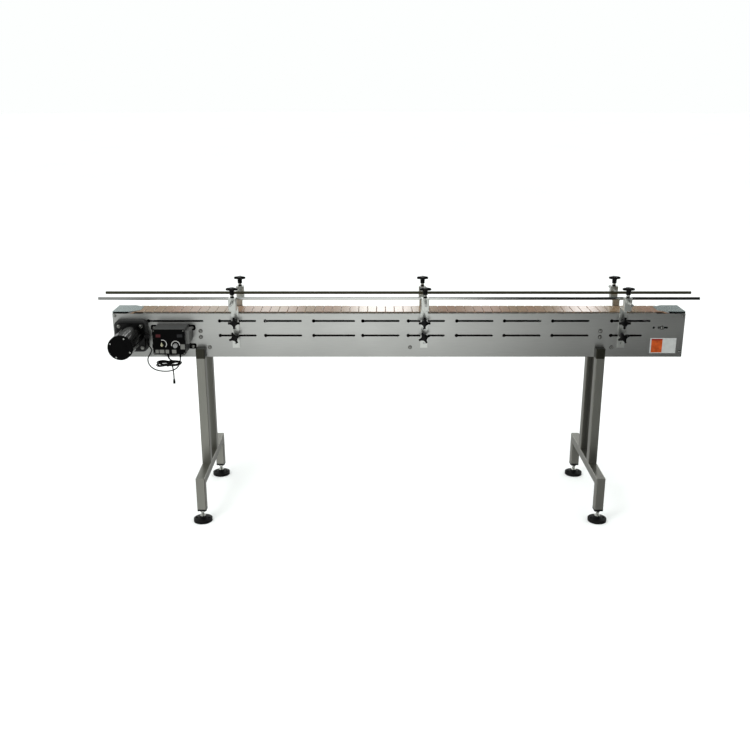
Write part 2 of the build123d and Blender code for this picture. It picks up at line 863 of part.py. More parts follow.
# Levelling feet: a ball stud with its nut, on a round pad
foot_names = [
    f"{side}_{end}_foot" for side in ("left", "right") for end in ("front", "rear")
]
for foot_name, (x, y) in zip(foot_names, foot_places):
    with BuildPart() as foot:
        hub_top = pad_thickness + pad_dome + pad_hub_height
        with BuildSketch(Plane.XZ) as pad_profile:
            with BuildLine():
                Polyline(
                    (0, 0),
                    (pad_radius, 0),
                    (pad_radius, pad_thickness),
                    (pad_hub_radius, pad_thickness + pad_dome),
                    (pad_hub_radius - pad_dome / 2, hub_top),
                    (0, hub_top),
                    close=True,
                )
            make_face()
        pad_shape = revolve(pad_profile.sketch, axis=Axis.Z, mode=Mode.PRIVATE)
        with Locations((x, y, 0)):
            add(pad_shape)
        with Locations((x, y, ball_centre)):
            Sphere(ball_radius + running_fit, mode=Mode.SUBTRACT)
        neck_hole = stud_radius + seat_gap
        rod_up(x, y, neck_hole, ball_centre, hub_top, Mode.SUBTRACT)
        with Locations((x, y, ball_centre)):
            Sphere(ball_radius)
        rod_up(x, y, stud_radius, ball_centre, stud_top)
        nut_top = short_leg_bottom - plug_flange - seat_gap
        with BuildSketch(Plane.XY.offset(nut_top - foot_nut_height)) as nut_face:
            with Locations((x, y)):
                RegularPolygon(foot_nut, 6)
                Circle(stud_radius + running_fit, mode=Mode.SUBTRACT)
        extrude(nut_face.sketch, amount=foot_nut_height)
        for side in (-1, 1):
            bolt_x = x + side * pad_bolt_circle
            rise = pad_dome * (pad_radius - pad_bolt_circle) / (pad_radius - pad_hub_radius)
            bolt_z = pad_thickness + rise
            rod_up(bolt_x, y, pad_bolt_radius, bolt_z - pad_dome, bolt_z + pad_bolt_height)
    foot.part.label = foot_name
    export_step(foot.part, f"parts/{foot_name}.step")

# Guide rails with their cross rods, brackets, clamp blocks and knobs
bracket_places = [share * frame_length for share in bracket_shares]
place_names = ("left", "centre", "right")
rail_half = half_length + rail_overhang
rod_height = rail_height
clamp_bottom = shelf_top
clamp_top = clamp_bottom + clamp_height
knob_heights = (upper_slots, lower_slots)


def guide_rail(side):
    """A long round rail with a blind hole for each cross rod."""
    with BuildSketch(Plane.YZ.offset(-rail_half)) as section:
        with Locations((side * rail_side, rail_height)):
            Circle(rail_radius)
    extrude(section.sketch, amount=2 * rail_half)
    hole_end = side * (rail_side + rail_radius - spigot_length)
    for x in bracket_places:
        spigot_hole = spigot_radius + running_fit
        outer_y = side * (rail_side + rail_radius)
        rod_across(x, rail_height, spigot_hole, hole_end, outer_y, Mode.SUBTRACT)


def cross_rods(side):
    """Rods that hold a rail in its clamp blocks."""
    start = side * (rail_side + rail_radius)
    for x in bracket_places:
        rod_across(x, rod_height, rod_radius, start, side * rod_end_side)
        tip = start - side * (spigot_length - seat_gap)
        rod_across(x, rod_height, spigot_radius, tip, start)


def guide_brackets(side):
    """Upright strips on the side plate, each bent out into a shelf."""
    strip_low = outer_side + loose_fit
    strip_high = strip_low + bracket_thickness
    strip_y = sorted((side * strip_low, side * strip_high))
    shelf_y = sorted((side * strip_low, side * shelf_side))
    shelf_low = shelf_top - bracket_thickness
    for x in bracket_places:
        low_x = x - bracket_width / 2
        high_x = x + bracket_width / 2
        box_between((low_x, strip_y[0], bracket_bottom), (high_x, strip_y[1], shelf_top))
        box_between((low_x, shelf_y[0], shelf_low), (high_x, shelf_y[1], shelf_top))
        for i in range(4):
            z = upper_slots - i * bracket_hole_spacing
            rod_across(x, z, bracket_hole_radius, strip_y[0], strip_y[1], Mode.SUBTRACT)
        for offset in (-1, 1):
            screw_x = x + offset * clamp_screw_spacing / 2
            screw_hole = clamp_screw_radius + running_fit
            screw_y = side * clamp_side
            rod_up(screw_x, screw_y, screw_hole, shelf_low, shelf_top, Mode.SUBTRACT)


def clamp_blocks(side):
    """Blocks bored for the cross rods, each with two screws from below."""
    for x in bracket_places:
        with BuildSketch(Plane.XY.offset(clamp_bottom)) as block_face:
            with Locations((x, side * clamp_side)):
                RectangleRounded(clamp_length, clamp_depth, clamp_edge)
        extrude(block_face.sketch, amount=clamp_height)
        inner_y = side * (clamp_side - clamp_depth)
        outer_y = side * (clamp_side + clamp_depth)
        rod_across(x, rod_height, rod_radius + running_fit, inner_y, outer_y, Mode.SUBTRACT)
        stud_hole = knob_stud_radius + running_fit
        rod_up(x, side * clamp_side, stud_hole, rod_height, clamp_top, Mode.SUBTRACT)
        for offset in (-1, 1):
            screw_x = x + offset * clamp_screw_spacing / 2
            screw_y = side * clamp_side
            screw_top = clamp_bottom + clamp_screw_depth
            screw_hole = clamp_screw_radius + running_fit
            rod_up(screw_x, screw_y, screw_hole, clamp_bottom, screw_top, Mode.SUBTRACT)
            head_top = shelf_top - bracket_thickness - running_fit
            head_low = head_top - clamp_screw_head
            rod_up(screw_x, screw_y, clamp_screw_radius, head_top, screw_top - seat_gap)
            rod_up(screw_x, screw_y, clamp_screw_head_radius, head_low, head_top)


for side_name, side in (("front", -1), ("rear", 1)):
    with BuildPart() as rail:
        guide_rail(side)
    rail.part.label = f"{side_name}_guide_rail"
    export_step(rail.part, f"parts/{side_name}_guide_rail.step")

    with BuildPart() as rods:
        cross_rods(side)
    rods.part.label = f"{side_name}_cross_rods"
    export_step(rods.part, f"parts/{side_name}_cross_rods.step")

    with BuildPart() as brackets:
        guide_brackets(side)
    brackets.part.label = f"{side_name}_guide_brackets"
    export_step(brackets.part, f"parts/{side_name}_guide_brackets.step")

    with BuildPart() as clamps:
        clamp_blocks(side)
    clamps.part.label = f"{side_name}_clamp_blocks"
    export_step(clamps.part, f"parts/{side_name}_clamp_blocks.step")

    for place_name, x in zip(place_names, bracket_places):
        with BuildPart() as top_knob:
            y = side * clamp_side
            collar_low = clamp_top + running_fit
            neck_low = collar_low + knob_collar_length
            star_low = neck_low + knob_neck_length
            with BuildSketch(Plane.XY.offset(star_low)):
                with Locations((x, y)):
                    star_outline()
            extrude(amount=star_thickness)
            top_edges = top_knob.edges().group_by(Axis.Z)[-1]
            fillet(top_edges, star_edge)
            rod_up(x, y, knob_neck_radius, neck_low, star_low)
            rod_up(x, y, knob_collar_radius, collar_low, neck_low)
            stud_tip = rod_height + rod_radius + seat_gap
            rod_up(x, y, knob_stud_radius, stud_tip, collar_low)
        top_knob.part.label = f"{side_name}_{place_name}_top_knob"
        export_step(top_knob.part, f"parts/{side_name}_{place_name}_top_knob.step")

    with BuildPart() as side_knobs:
        strip_face = outer_side + loose_fit + bracket_thickness + running_fit
        neck_end = strip_face + side_knob_neck
        star_end = neck_end + star_thickness
        for x in bracket_places:
            for height, turn in zip(knob_heights, (0, side_knob_turn)):
                plane = Plane(
                    origin=(x, side * neck_end, height), x_dir=(1, 0, 0), z_dir=(0, side, 0)
                )
                with BuildSketch(plane) as star:
                    star_outline(turn)
                extrude(star.sketch, amount=star_thickness)
                rod_across(x, height, knob_neck_radius, side * strip_face, side * neck_end)
                nut_face_y = inner_side - running_fit
                nut_end = nut_face_y - nut_plate_thickness
                stud_tip = nut_end - bolt_radius
                rod_across(x, height, knob_stud_radius, side * stud_tip, side * strip_face)
                half_nut = nut_plate / 2
                nut_y = sorted((side * nut_face_y, side * nut_end))
                low = (x - half_nut, nut_y[0], height - half_nut)
                box_between(low, (x + half_nut, nut_y[1], height + half_nut))
    side_knobs.part.label = f"{side_name}_side_knobs"
    export_step(side_knobs.part, f"parts/{side_name}_side_knobs.step")

# Flange bearings for the drive shaft, bushes for the motor shaft
with BuildPart() as shaft_bearings:
    for side in (-1, 1):
        face = side * inner_side
        inner_face = side * (inner_side - bearing_block_length)
        flange_face = side * (inner_side - bolt_radius)
        rod_across(-shaft_x, shaft_height, bearing_ring_radius, face, inner_face)
        with BuildSketch(across(face)) as flange_outline:
            with Locations((-shaft_x, shaft_height)):
                ear_reach = 2 * (bearing_bolt_circle + small_bolt_head)
                SlotOverall(ear_reach, 2 * (small_bolt_head + small_bolt_radius))
        extrude(flange_outline.sketch, amount=face - flange_face)
        bore = shaft_radius + running_fit
        rod_across(-shaft_x, shaft_height, bore, face, inner_face, Mode.SUBTRACT)
        for x, z in bearing_bolts:
            rod_across(x, z, small_hole, face, inner_face, Mode.SUBTRACT)
    ring_bore = rotor_shaft_radius + running_fit
    ring_outer = motor_bearing_radius - running_fit
    front_ring = (-flange_front + motor_bearing_width, -flange_front)
    rear_ring_start = -(flange_front + motor_length - motor_bearing_width)
    rear_ring = (rear_ring_start, rear_ring_start - motor_bearing_width)
    for ring in (front_ring, rear_ring):
        rod_across(motor_x, motor_z, ring_outer, *ring)
        rod_across(motor_x, motor_z, ring_bore, *ring, Mode.SUBTRACT)
shaft_bearings.part.label = "shaft_bearings"
export_step(shaft_bearings.part, "parts/shaft_bearings.step")

# Gear train: where its middle shaft lies, and how the teeth face each other
slow_distance = slow_module * (small_teeth + output_teeth) / 2
fast_distance = fast_module * (pinion_teeth + wheel_teeth) / 2
shaft_distance = math.hypot(motor_shift, motor_drop)
along = (slow_distance**2 - fast_distance**2 + shaft_distance**2) / (2 * shaft_distance)
aside = math.sqrt(slow_distance**2 - along**2)
unit_x = motor_shift / shaft_distance
unit_z = -motor_drop / shaft_distance
middle_x = -shaft_x + along * unit_x + aside * unit_z
middle_z = shaft_height + along * unit_z - aside * unit_x
to_output = math.degrees(math.atan2(shaft_height - middle_z, -shaft_x - middle_x))
to_motor = math.degrees(math.atan2(motor_z - middle_z, motor_x - middle_x))


def involute(angle):
    """The involute function of a pressure angle in radians."""
    return math.tan(angle) - angle


def gear_points(module, teeth, tooth_direction):
    """Corner points of a spur gear with one tooth on the given direction."""
    pitch = module * teeth / 2
    base = pitch * math.cos(math.radians(pressure_angle))
    tip = pitch + module
    root = pitch - 1.25 * module
    half_tooth = math.pi / (2 * teeth) - gear_backlash * module / (2 * pitch)
    at_pitch = involute(math.radians(pressure_angle))
    lowest = max(base, root)
    flank = [(root, half_tooth + at_pitch)] if root < base else []
    for i in range(tooth_steps + 1):
        radius = lowest + (tip - lowest) * i / tooth_steps
        turn = involute(math.acos(min(1, base / radius)))
        flank.append((radius, half_tooth + at_pitch - turn))
    tooth = [(r, -a) for r, a in flank] + [(r, a) for r, a in reversed(flank)]
    points = []
    for i in range(teeth):
        centre = math.radians(tooth_direction) + 2 * math.pi * i / teeth
        points += [(r * math.cos(centre + a), r * math.sin(centre + a)) for r, a in tooth]
    return points


def spur_gear(x, z, module, teeth, tooth_direction, y_from, y_to):
    """A spur gear between two places along y."""
    with BuildSketch(across(y_from)) as gear_face:
        with Locations((x, z)):
            Polygon(*gear_points(module, teeth, tooth_direction), align=None)
    extrude(gear_face.sketch, amount=y_from - y_to)


slow_from = -output_gear_inner
slow_to = slow_from - slow_face
fast_from = slow_to - fast_gear_gap
fast_to = fast_from - fast_face
with BuildPart() as output_gear:
    towards_middle = to_output + 180
    spur_gear(-shaft_x, shaft_height, slow_module, output_teeth, towards_middle, slow_from, slow_to)
    rod_across(-shaft_x, shaft_height, bore, slow_from, slow_to, Mode.SUBTRACT)
output_gear.part.label = "output_gear"
export_step(output_gear.part, "parts/output_gear.step")

with BuildPart() as intermediate_gear:
    small_gap = to_output + 180 / small_teeth
    spur_gear(middle_x, middle_z, slow_module, small_teeth, small_gap, slow_from, fast_from)
    wheel_gap = to_motor + 180 / wheel_teeth
    spur_gear(middle_x, middle_z, fast_module, wheel_teeth, wheel_gap, fast_from, fast_to)
    shaft_low = -(outer_side + case_wall - gear_shaft_seat)
    shaft_high = -(cover_back + gear_shaft_seat)
    rod_across(middle_x, middle_z, gear_shaft_radius, shaft_low, shaft_high)
intermediate_gear.part.label = "intermediate_gear"
export_step(intermediate_gear.part, "parts/intermediate_gear.step")

with BuildPart() as motor_rotor:
    pinion_direction = to_motor + 180
    spur_gear(motor_x, motor_z, fast_module, pinion_teeth, pinion_direction, fast_from, fast_to)
    rotor_middle = -(flange_front + motor_length / 2)
    rotor_tip = rear_ring_start - motor_bearing_width
    rod_across(motor_x, motor_z, rotor_shaft_radius, fast_to, rotor_tip)
    rotor_ends = (rotor_middle - rotor_length / 2, rotor_middle + rotor_length / 2)
    rod_across(motor_x, motor_z, rotor_radius, *rotor_ends)
motor_rotor.part.label = "motor_rotor"
export_step(motor_rotor.part, "parts/motor_rotor.step")

# Gearbox case, open at the front, and the cover that closes it
with BuildPart() as gearbox_case:
    with BuildSketch(across(-outer_side)) as case_face:
        with Locations((case_x, case_z)):
            RectangleRounded(case_size, case_size, case_corner)
    extrude(case_face.sketch, amount=case_depth)
    case_inside = case_size - 2 * case_wall
    with BuildSketch(across(-outer_side - case_wall)) as case_hollow:
        with Locations((case_x, case_z)):
            RectangleRounded(case_inside, case_inside, case_corner - case_wall)
        with Locations(*case_bolts):
            Circle(case_boss_radius, mode=Mode.SUBTRACT)
    extrude(case_hollow.sketch, amount=case_depth - case_wall, mode=Mode.SUBTRACT)
    shaft_hole = shaft_radius + sheet
    back_face = (-outer_side, -outer_side - case_wall)
    rod_across(-shaft_x, shaft_height, shaft_hole, *back_face, Mode.SUBTRACT)
    gear_bore = gear_shaft_radius + running_fit
    rod_across(middle_x, middle_z, gear_bore, shaft_low + seat_gap, back_face[1], Mode.SUBTRACT)
    thread_end = -outer_side - case_depth / 2
    for x, z in case_bolts:
        thread = small_bolt_radius + running_fit
        rod_across(x, z, thread, -outer_side, thread_end, Mode.SUBTRACT)
gearbox_case.part.label = "gearbox_case"
export_step(gearbox_case.part, "parts/gearbox_case.step")

motor_bolts = [
    (motor_x + i * motor_bolt_spacing / 2, motor_z + j * motor_bolt_spacing / 2)
    for i in (-1, 1)
    for j in (-1, 1)
]
motor_thread_end = -cover_back - case_joint
with BuildPart() as gearbox_cover:
    with BuildSketch(across(-cover_back)) as cover_face:
        with Locations((case_x, case_z)):
            RectangleRounded(case_size, case_size, case_corner)
    extrude(cover_face.sketch, amount=case_cover)
    rod_across(motor_x, motor_z, motor_pilot_radius, -cover_back, -cover_front, Mode.SUBTRACT)
    rod_across(middle_x, middle_z, gear_bore, -cover_back, shaft_high - seat_gap, Mode.SUBTRACT)
    for x, z in motor_bolts:
        thread = bolt_radius + running_fit
        rod_across(x, z, thread, motor_thread_end, -cover_front, Mode.SUBTRACT)
gearbox_cover.part.label = "gearbox_cover"
export_step(gearbox_cover.part, "parts/gearbox_cover.step")

# Motor: flange and body in one casting, with the stator inside, and its end cap
motor_end = flange_front + motor_length
gland_side = motor_x + motor_flange_size / 2
gland_middle = cover_front + motor_flange_depth / 2
with BuildPart() as motor_housing:
    with BuildSketch(across(-cover_front)) as flange_face:
        with Locations((motor_x, motor_z)):
            RectangleRounded(motor_flange_size, motor_flange_size, motor_flange_corner)
    extrude(flange_face.sketch, amount=motor_flange_depth)
    rod_across(motor_x, motor_z, motor_radius, -flange_front, -motor_end)
    cavity = motor_radius - motor_wall
    rod_across(motor_x, motor_z, cavity, -flange_front, -motor_end, Mode.SUBTRACT)
    neck = rotor_shaft_radius + sheet
    rod_across(motor_x, motor_z, neck, -cover_front, -flange_front, Mode.SUBTRACT)
    rod_across(motor_x, motor_z, motor_bearing_radius, *front_ring, Mode.SUBTRACT)
    for x, z in motor_bolts:
        clearance = bolt_radius + loose_fit
        rod_across(x, z, clearance, -cover_front, -flange_front, Mode.SUBTRACT)
    stator_ends = (rotor_middle - stator_length / 2, rotor_middle + stator_length / 2)
    rod_across(motor_x, motor_z, cavity - running_fit, *stator_ends)
    rod_across(motor_x, motor_z, stator_radius, *stator_ends, Mode.SUBTRACT)
motor_housing.part.label = "motor_housing"
export_step(motor_housing.part, "parts/motor_housing.step")

with BuildPart() as motor_end_cap:
    cap_back = motor_end + case_joint
    cap_front = cap_back + motor_cap_depth
    rod_across(motor_x, motor_z, motor_radius, -cap_back, -cap_front)
    fillet(motor_end_cap.edges().group_by(Axis.Y)[0], motor_cap_edge)
    boss = motor_bearing_radius + motor_wall
    rod_across(motor_x, motor_z, boss, rear_ring[0], -cap_back)
    rod_across(motor_x, motor_z, motor_bearing_radius, rear_ring[0], rear_ring[1], Mode.SUBTRACT)
    with BuildSketch(across(-cap_front)) as cap_screws:
        with Locations((motor_x, motor_z)):
            with PolarLocations(cap_bolt_circle, 4, start_angle=45):
                Circle(small_bolt_radius)
    extrude(cap_screws.sketch, amount=-cap_screw_sink, mode=Mode.SUBTRACT)
motor_end_cap.part.label = "motor_end_cap"
export_step(motor_end_cap.part, "parts/motor_end_cap.step")

# Control box: mounting plate, hollow body and cooling fins
box_low = box_height - box_tall / 2
box_right = box_x + box_width / 2
plate_height = box_height - ear_drop
dial_x = box_x + dial_share_x * box_width
switch_x = box_x + switch_share_x * box_width
dial_z = box_height + dial_share_z * box_tall
switch_z = box_height + switch_share_z * box_tall
supply_exit_x = box_x + supply_exit_offset
lead_exit_x = box_x + lead_exit_offset
gland_spigot_hole = gland_spigot_radius + running_fit
with BuildPart() as control_box:
    with BuildSketch(across(-outer_side)) as plate_face:
        with Locations((box_x, plate_height)):
            RectangleRounded(box_plate_width, box_plate_tall, box_plate_corner)
    extrude(plate_face.sketch, amount=box_plate)
    with BuildSketch(across(-outer_side)) as body_face:
        with Locations((box_x, box_height)):
            RectangleRounded(box_width, box_tall, box_corner)
    extrude(body_face.sketch, amount=box_plate + box_depth)
    with BuildSketch(across(-outer_side - box_plate)) as body_hollow:
        with Locations((box_x, box_height)):
            inside_width = box_width - 2 * box_wall
            inside_tall = box_tall - 2 * box_wall
            Rectangle(inside_width, inside_tall)
        half_in_x = box_width / 2 - face_screw_inset
        half_in_z = box_tall / 2 - face_screw_inset
        face_screws = [
            (box_x + i * half_in_x, box_height + j * half_in_z)
            for i in (-1, 1)
            for j in (-1, 1)
        ]
        with Locations(*face_screws):
            Circle(face_screw_inset, mode=Mode.SUBTRACT)
    extrude(body_hollow.sketch, amount=box_depth, mode=Mode.SUBTRACT)
    ear_hole = small_bolt_radius + loose_fit
    for x, z in ear_bolts:
        rod_across(x, z, ear_hole, -outer_side, -outer_side - box_plate, Mode.SUBTRACT)
    for x, z in face_screws:
        thread = face_screw_radius + running_fit
        depth = -box_front + face_screw_length
        rod_across(x, z, thread, -box_front, depth, Mode.SUBTRACT)
    box_top_of_wall = box_low + box_wall + overrun
    for x, y in ((supply_exit_x, -supply_exit_side), (lead_exit_x, -lead_exit_side)):
        rod_up(x, y, gland_spigot_hole, box_low - overrun, box_top_of_wall, Mode.SUBTRACT)
    sink_x = box_right + box_joint
    sink_low = box_height + fin_rise - fin_tall / 2
    sink_high = sink_low + fin_tall
    fin_middle = -(outer_side + box_plate + box_depth / 2)
    first_fin = fin_middle + fin_spacing * (fin_count - 1) / 2
    half_sink = (fin_spacing * (fin_count - 1) + fin_thickness) / 2
    sink_face = sink_x + fin_base
    low = (sink_x, fin_middle - half_sink, sink_low)
    box_between(low, (sink_face, fin_middle + half_sink, sink_high))
    for i in range(fin_count):
        y = first_fin - i * fin_spacing
        low = (sink_x, y - fin_thickness / 2, sink_low)
        box_between(low, (sink_face + fin_reach, y + fin_thickness / 2, sink_high))
control_box.part.label = "control_box"
export_step(control_box.part, "parts/control_box.step")

# Face of the control box, with the collar of the mode switch
face_back = box_front + box_joint
dial_hole = dial_shaft_radius + running_fit
with BuildPart() as control_box_cover:
    with BuildSketch(across(-face_back)) as face_outline:
        with Locations((box_x, box_height)):
            RectangleRounded(box_width, box_tall, box_corner)
        with Locations((dial_x, dial_z), (switch_x, switch_z)):
            Circle(dial_hole, mode=Mode.SUBTRACT)
        with Locations(*face_screws):
            Circle(face_screw_radius + running_fit, mode=Mode.SUBTRACT)
    extrude(face_outline.sketch, amount=box_cover)
    with BuildSketch(across(-face_front)) as collar_face:
        with Locations((switch_x, switch_z)):
            Circle(switch_base_radius)
            Circle(dial_hole, mode=Mode.SUBTRACT)
    extrude(collar_face.sketch, amount=switch_base_height)
control_box_cover.part.label = "control_box_cover"
export_step(control_box_cover.part, "parts/control_box_cover.step")

# Speed dial: a knob with a raised pointer on a shaft
dial_back = face_front + seat_gap
dial_front = dial_back + dial_length
with BuildPart() as speed_dial:
    rod_across(dial_x, dial_z, dial_radius, -dial_back, -dial_front)
    fillet(speed_dial.edges().group_by(Axis.Y)[0], dial_pointer)
    shaft_tip = face_back - dial_shaft_reach
    rod_across(dial_x, dial_z, dial_shaft_radius, -shaft_tip, -dial_back)
    pointer_low = (dial_x - dial_pointer / 2, -dial_front - dial_pointer / 2, dial_z)
    pointer_high = (dial_x + dial_pointer / 2, -dial_back, dial_z + dial_radius)
    box_between(pointer_low, pointer_high)
speed_dial.part.label = "speed_dial"
export_step(speed_dial.part, "parts/speed_dial.step")

# Mode switch: a short round turret with a lever across it
switch_back = face_front + switch_base_height + seat_gap
switch_front = switch_back + switch_length
with BuildPart() as mode_switch:
    rod_across(switch_x, switch_z, switch_radius, -switch_back, -switch_front)
    rod_across(switch_x, switch_z, dial_shaft_radius, -shaft_tip, -switch_back)
    half_lever = switch_lever / 2
    lever_back = switch_front - switch_lever
    low = (switch_x - half_lever, -switch_front - half_lever, switch_z - switch_radius)
    high = (switch_x + half_lever, -lever_back, switch_z - switch_radius + switch_lever_length)
    box_between(low, high)
mode_switch.part.label = "mode_switch"
export_step(mode_switch.part, "parts/mode_switch.step")

# Blank labels: patches on the face of the box, and one on the front side plate
with BuildPart() as blank_labels:
    for x_from, x_to, z_from, z_to in face_label_shares:
        low = (box_x + x_from * box_width, -face_front - label_thickness, box_height + z_from * box_tall)
        high = (box_x + x_to * box_width, -face_front, box_height + z_to * box_tall)
        box_between(low, high)
    label_x = [share * frame_length for share in plate_label_shares]
    low = (label_x[0], -outer_side - label_thickness, frame_bottom + plate_label_low)
    box_between(low, (label_x[1], -outer_side, frame_bottom + plate_label_high))
blank_labels.part.label = "blank_labels"
export_step(blank_labels.part, "parts/blank_labels.step")


def gland_down(x, y, top):
    """A cord gland below a face: a hexagonal nut and a round cap."""
    nut_low = top - gland_nut_length
    with BuildSketch(Plane.XY.offset(top)) as nut_outline:
        with Locations((x, y)):
            RegularPolygon(gland_nut, 6, major_radius=False, rotation=30)
    extrude(nut_outline.sketch, amount=-gland_nut_length)
    rod_up(x, y, gland_cap_radius, nut_low, nut_low - gland_cap_length)


# Glands under the control box, and the lead block on the motor flange
lead_top = motor_lead_points[0][2] + gland_nut_length + gland_cap_length
with BuildPart() as cord_glands:
    for x, y in ((supply_exit_x, -supply_exit_side), (lead_exit_x, -lead_exit_side)):
        gland_down(x, y, box_low)
        rod_up(x, y, gland_spigot_radius, box_low, box_low + gland_spigot_length)
    block_x = motor_lead_points[0][0]
    half_block = lead_block / 2
    low = (gland_side, -gland_middle - half_block, lead_top)
    high = (block_x + half_block, -gland_middle + half_block, lead_top + lead_block_height)
    box_between(low, high)
    gland_down(motor_lead_points[0][0], -gland_middle, lead_top)
cord_glands.part.label = "cord_glands"
export_step(cord_glands.part, "parts/cord_glands.step")


def corner_radii(points):
    """The largest arc at each corner of a cord's route that its two runs allow."""
    radii = []
    for before, corner, after in zip(points, points[1:], points[2:]):
        run_in = Vector(*corner) - Vector(*before)
        run_out = Vector(*after) - Vector(*corner)
        half_turn = math.radians(run_in.get_angle(run_out)) / 2
        radii.append(0.45 * min(run_in.length, run_out.length) / math.tan(half_turn))
    return radii


def cord_tube(name, points):
    """A cord's tube along straight runs and tangent arcs, checked by its volume."""
    radii = corner_radii(points)
    with BuildLine() as route:
        FilletPolyline(*points, radius=radii)
    path = route.wires()[0]
    with BuildSketch(Plane(origin=path @ 0, z_dir=path % 0)) as section:
        Circle(cord_radius)
    tube_part = sweep(section.sketch, path=path)
    volume = math.pi * cord_radius**2 * path.length
    print(name, "radii", [round(r, 1) for r in radii], "length", round(path.length, 1))
    print(name, "volume over section times length", round(tube_part.volume / volume, 4))


with BuildPart() as motor_lead:
    cord_tube("motor_lead", motor_lead_points)
motor_lead.part.label = "motor_lead"
export_step(motor_lead.part, "parts/motor_lead.step")

with BuildPart() as supply_lead:
    cord_tube("supply_lead", supply_lead_points)
    cord_tube("supply_tail", supply_tail_points)
supply_lead.part.label = "supply_lead"
export_step(supply_lead.part, "parts/supply_lead.step")

# The hank that the supply lead is tied up in: it winds in on the upper layer,
# steps down along a run and winds out again on the lower layer
layer_rise = cord_radius + cord_gap / 2
half_run = hank_run / 2
half_turns = 2 * hank_turns - 1


def hank_point(x, y, z):
    """A point of the hank, given from its centre."""
    return (hank_centre[0] + x, hank_centre[1] + y, hank_centre[2] + z)


def waist_of(fold):
    """How far from the centre line a run passes the waist."""
    return fold - waist_draw + (waist_step_ratio - 1) * (fold - hank_fold)


def hank_route():
    """The folds and runs of the hank in order, as ('fold' or 'run', points)."""
    pieces = []
    fold_in = [hank_fold + i * hank_step / 2 for i in range(half_turns, -1, -1)]
    sizes = fold_in + fold_in[-2::-1]
    fold_count = len(sizes) - 1
    side = 1
    end = 1
    rise = layer_rise
    for i in range(fold_count):
        before = sizes[i]
        after = sizes[i + 1]
        radius = (before + after) / 2
        start = (end * half_run, side * before, rise)
        middle = (end * (half_run + radius), side * (before - after) / 2, rise)
        finish = (end * half_run, -side * after, rise)
        pieces.append(("fold", start, middle, finish))
        side = -side
        if i < fold_count - 1:
            next_rise = -layer_rise if i == fold_count // 2 - 1 else rise
            waist = (0, side * waist_of(after), (rise + next_rise) / 2)
            last = (-end * half_run, side * after, next_rise)
            pieces.append(("run", finish, waist, last))
            rise = next_rise
        end = -end
    return pieces


hank_pieces = hank_route()
cord_width = 2 * cord_radius
with BuildPart() as supply_hank:
    with BuildLine() as hank_line:
        first = hank_pieces[0][1]
        Line(hank_point(first[0] - cord_width, *first[1:]), hank_point(*first))
        for kind, start, middle, finish in hank_pieces:
            if kind == "fold":
                ThreePointArc(hank_point(*start), hank_point(*middle), hank_point(*finish))
            else:
                heading = Vector(math.copysign(1, finish[0] - start[0]), 0, 0)
                stops = [start, middle, finish]
                for near, far in zip(stops, stops[1:]):
                    near_point = Vector(*hank_point(*near))
                    far_point = Vector(*hank_point(*far))
                    bend = (near_point + far_point) * 0.5
                    chord = (far_point - near_point).normalized()
                    turned = chord * (2 * chord.dot(heading)) - heading
                    TangentArc(near_point, bend, tangent=heading)
                    TangentArc(bend, far_point, tangent=turned)
        last = hank_pieces[-1][3]
        Line(hank_point(*last), hank_point(last[0] + cord_width, *last[1:]))
    hank_path = hank_line.wires()[0]
    with BuildSketch(Plane(origin=hank_path @ 0, z_dir=hank_path % 0)) as cord_section:
        Circle(cord_radius)
    sweep(cord_section.sketch, path=hank_path)
supply_hank.part.label = "supply_hank"
export_step(supply_hank.part, "parts/supply_hank.step")

# Least gap of the hank to itself, measured between points along its path
sample_count = 900
samples = [hank_path @ (i / sample_count) for i in range(sample_count + 1)]
sample_step = hank_path.length / sample_count
skip = int(math.pi * cord_width / sample_step)
least = min(
    (samples[i] - samples[j]).length
    for i in range(0, sample_count, 2)
    for j in range(i + skip, sample_count)
)
hank_volume = math.pi * cord_radius**2 * hank_path.length
print("supply_hank length", round(hank_path.length, 1), "least gap", round(least - cord_width, 2))
print("supply_hank volume ratio", round(supply_hank.part.volume / hank_volume, 4))

# The tie round the hank's waist
waist_rear = waist_of(hank_fold + (half_turns - 2) * hank_step / 2)
waist_front = waist_of(hank_fold + (half_turns - 1) * hank_step / 2)
with BuildPart() as hank_tie:
    tie_clear = cord_radius + seat_gap
    tie_low = hank_centre[1] - waist_front - tie_clear
    tie_high = hank_centre[1] + waist_rear + tie_clear
    tie_rise = layer_rise + tie_clear
    tie_start = Plane.YZ.offset(hank_centre[0] - tie_band_width / 2)
    with BuildSketch(tie_start) as band:
        with Locations(((tie_low + tie_high) / 2, hank_centre[2])):
            band_width = tie_high - tie_low + 2 * tie_band
            band_height = 2 * tie_rise + 2 * tie_band
            RectangleRounded(band_width, band_height, cord_radius)
            inside = (band_width - 2 * tie_band, band_height - 2 * tie_band)
            RectangleRounded(*inside, cord_radius / 2, mode=Mode.SUBTRACT)
    extrude(band.sketch, amount=tie_band_width)
hank_tie.part.label = "hank_tie"
export_step(hank_tie.part, "parts/hank_tie.step")

# The plug on the end of the supply lead
with BuildPart() as supply_plug:
    plug_x, plug_y, plug_top_z = supply_tail_points[-1]
    with BuildSketch(Plane.XZ) as plug_profile:
        with BuildLine():
            Polyline(
                (plug_bore_radius, 0),
                (plug_radius, 0),
                (plug_radius, plug_length / 2),
                (plug_top_radius, plug_length),
                (0, plug_length),
                (0, plug_bore_depth),
                (plug_bore_radius, plug_bore_depth),
                close=True,
            )
        make_face()
    plug_shape = revolve(plug_profile.sketch, axis=Axis.Z, mode=Mode.PRIVATE)
    with Locations((plug_x, plug_y, plug_top_z - plug_length)):
        add(plug_shape)
supply_plug.part.label = "supply_plug"
export_step(supply_plug.part, "parts/supply_plug.step")


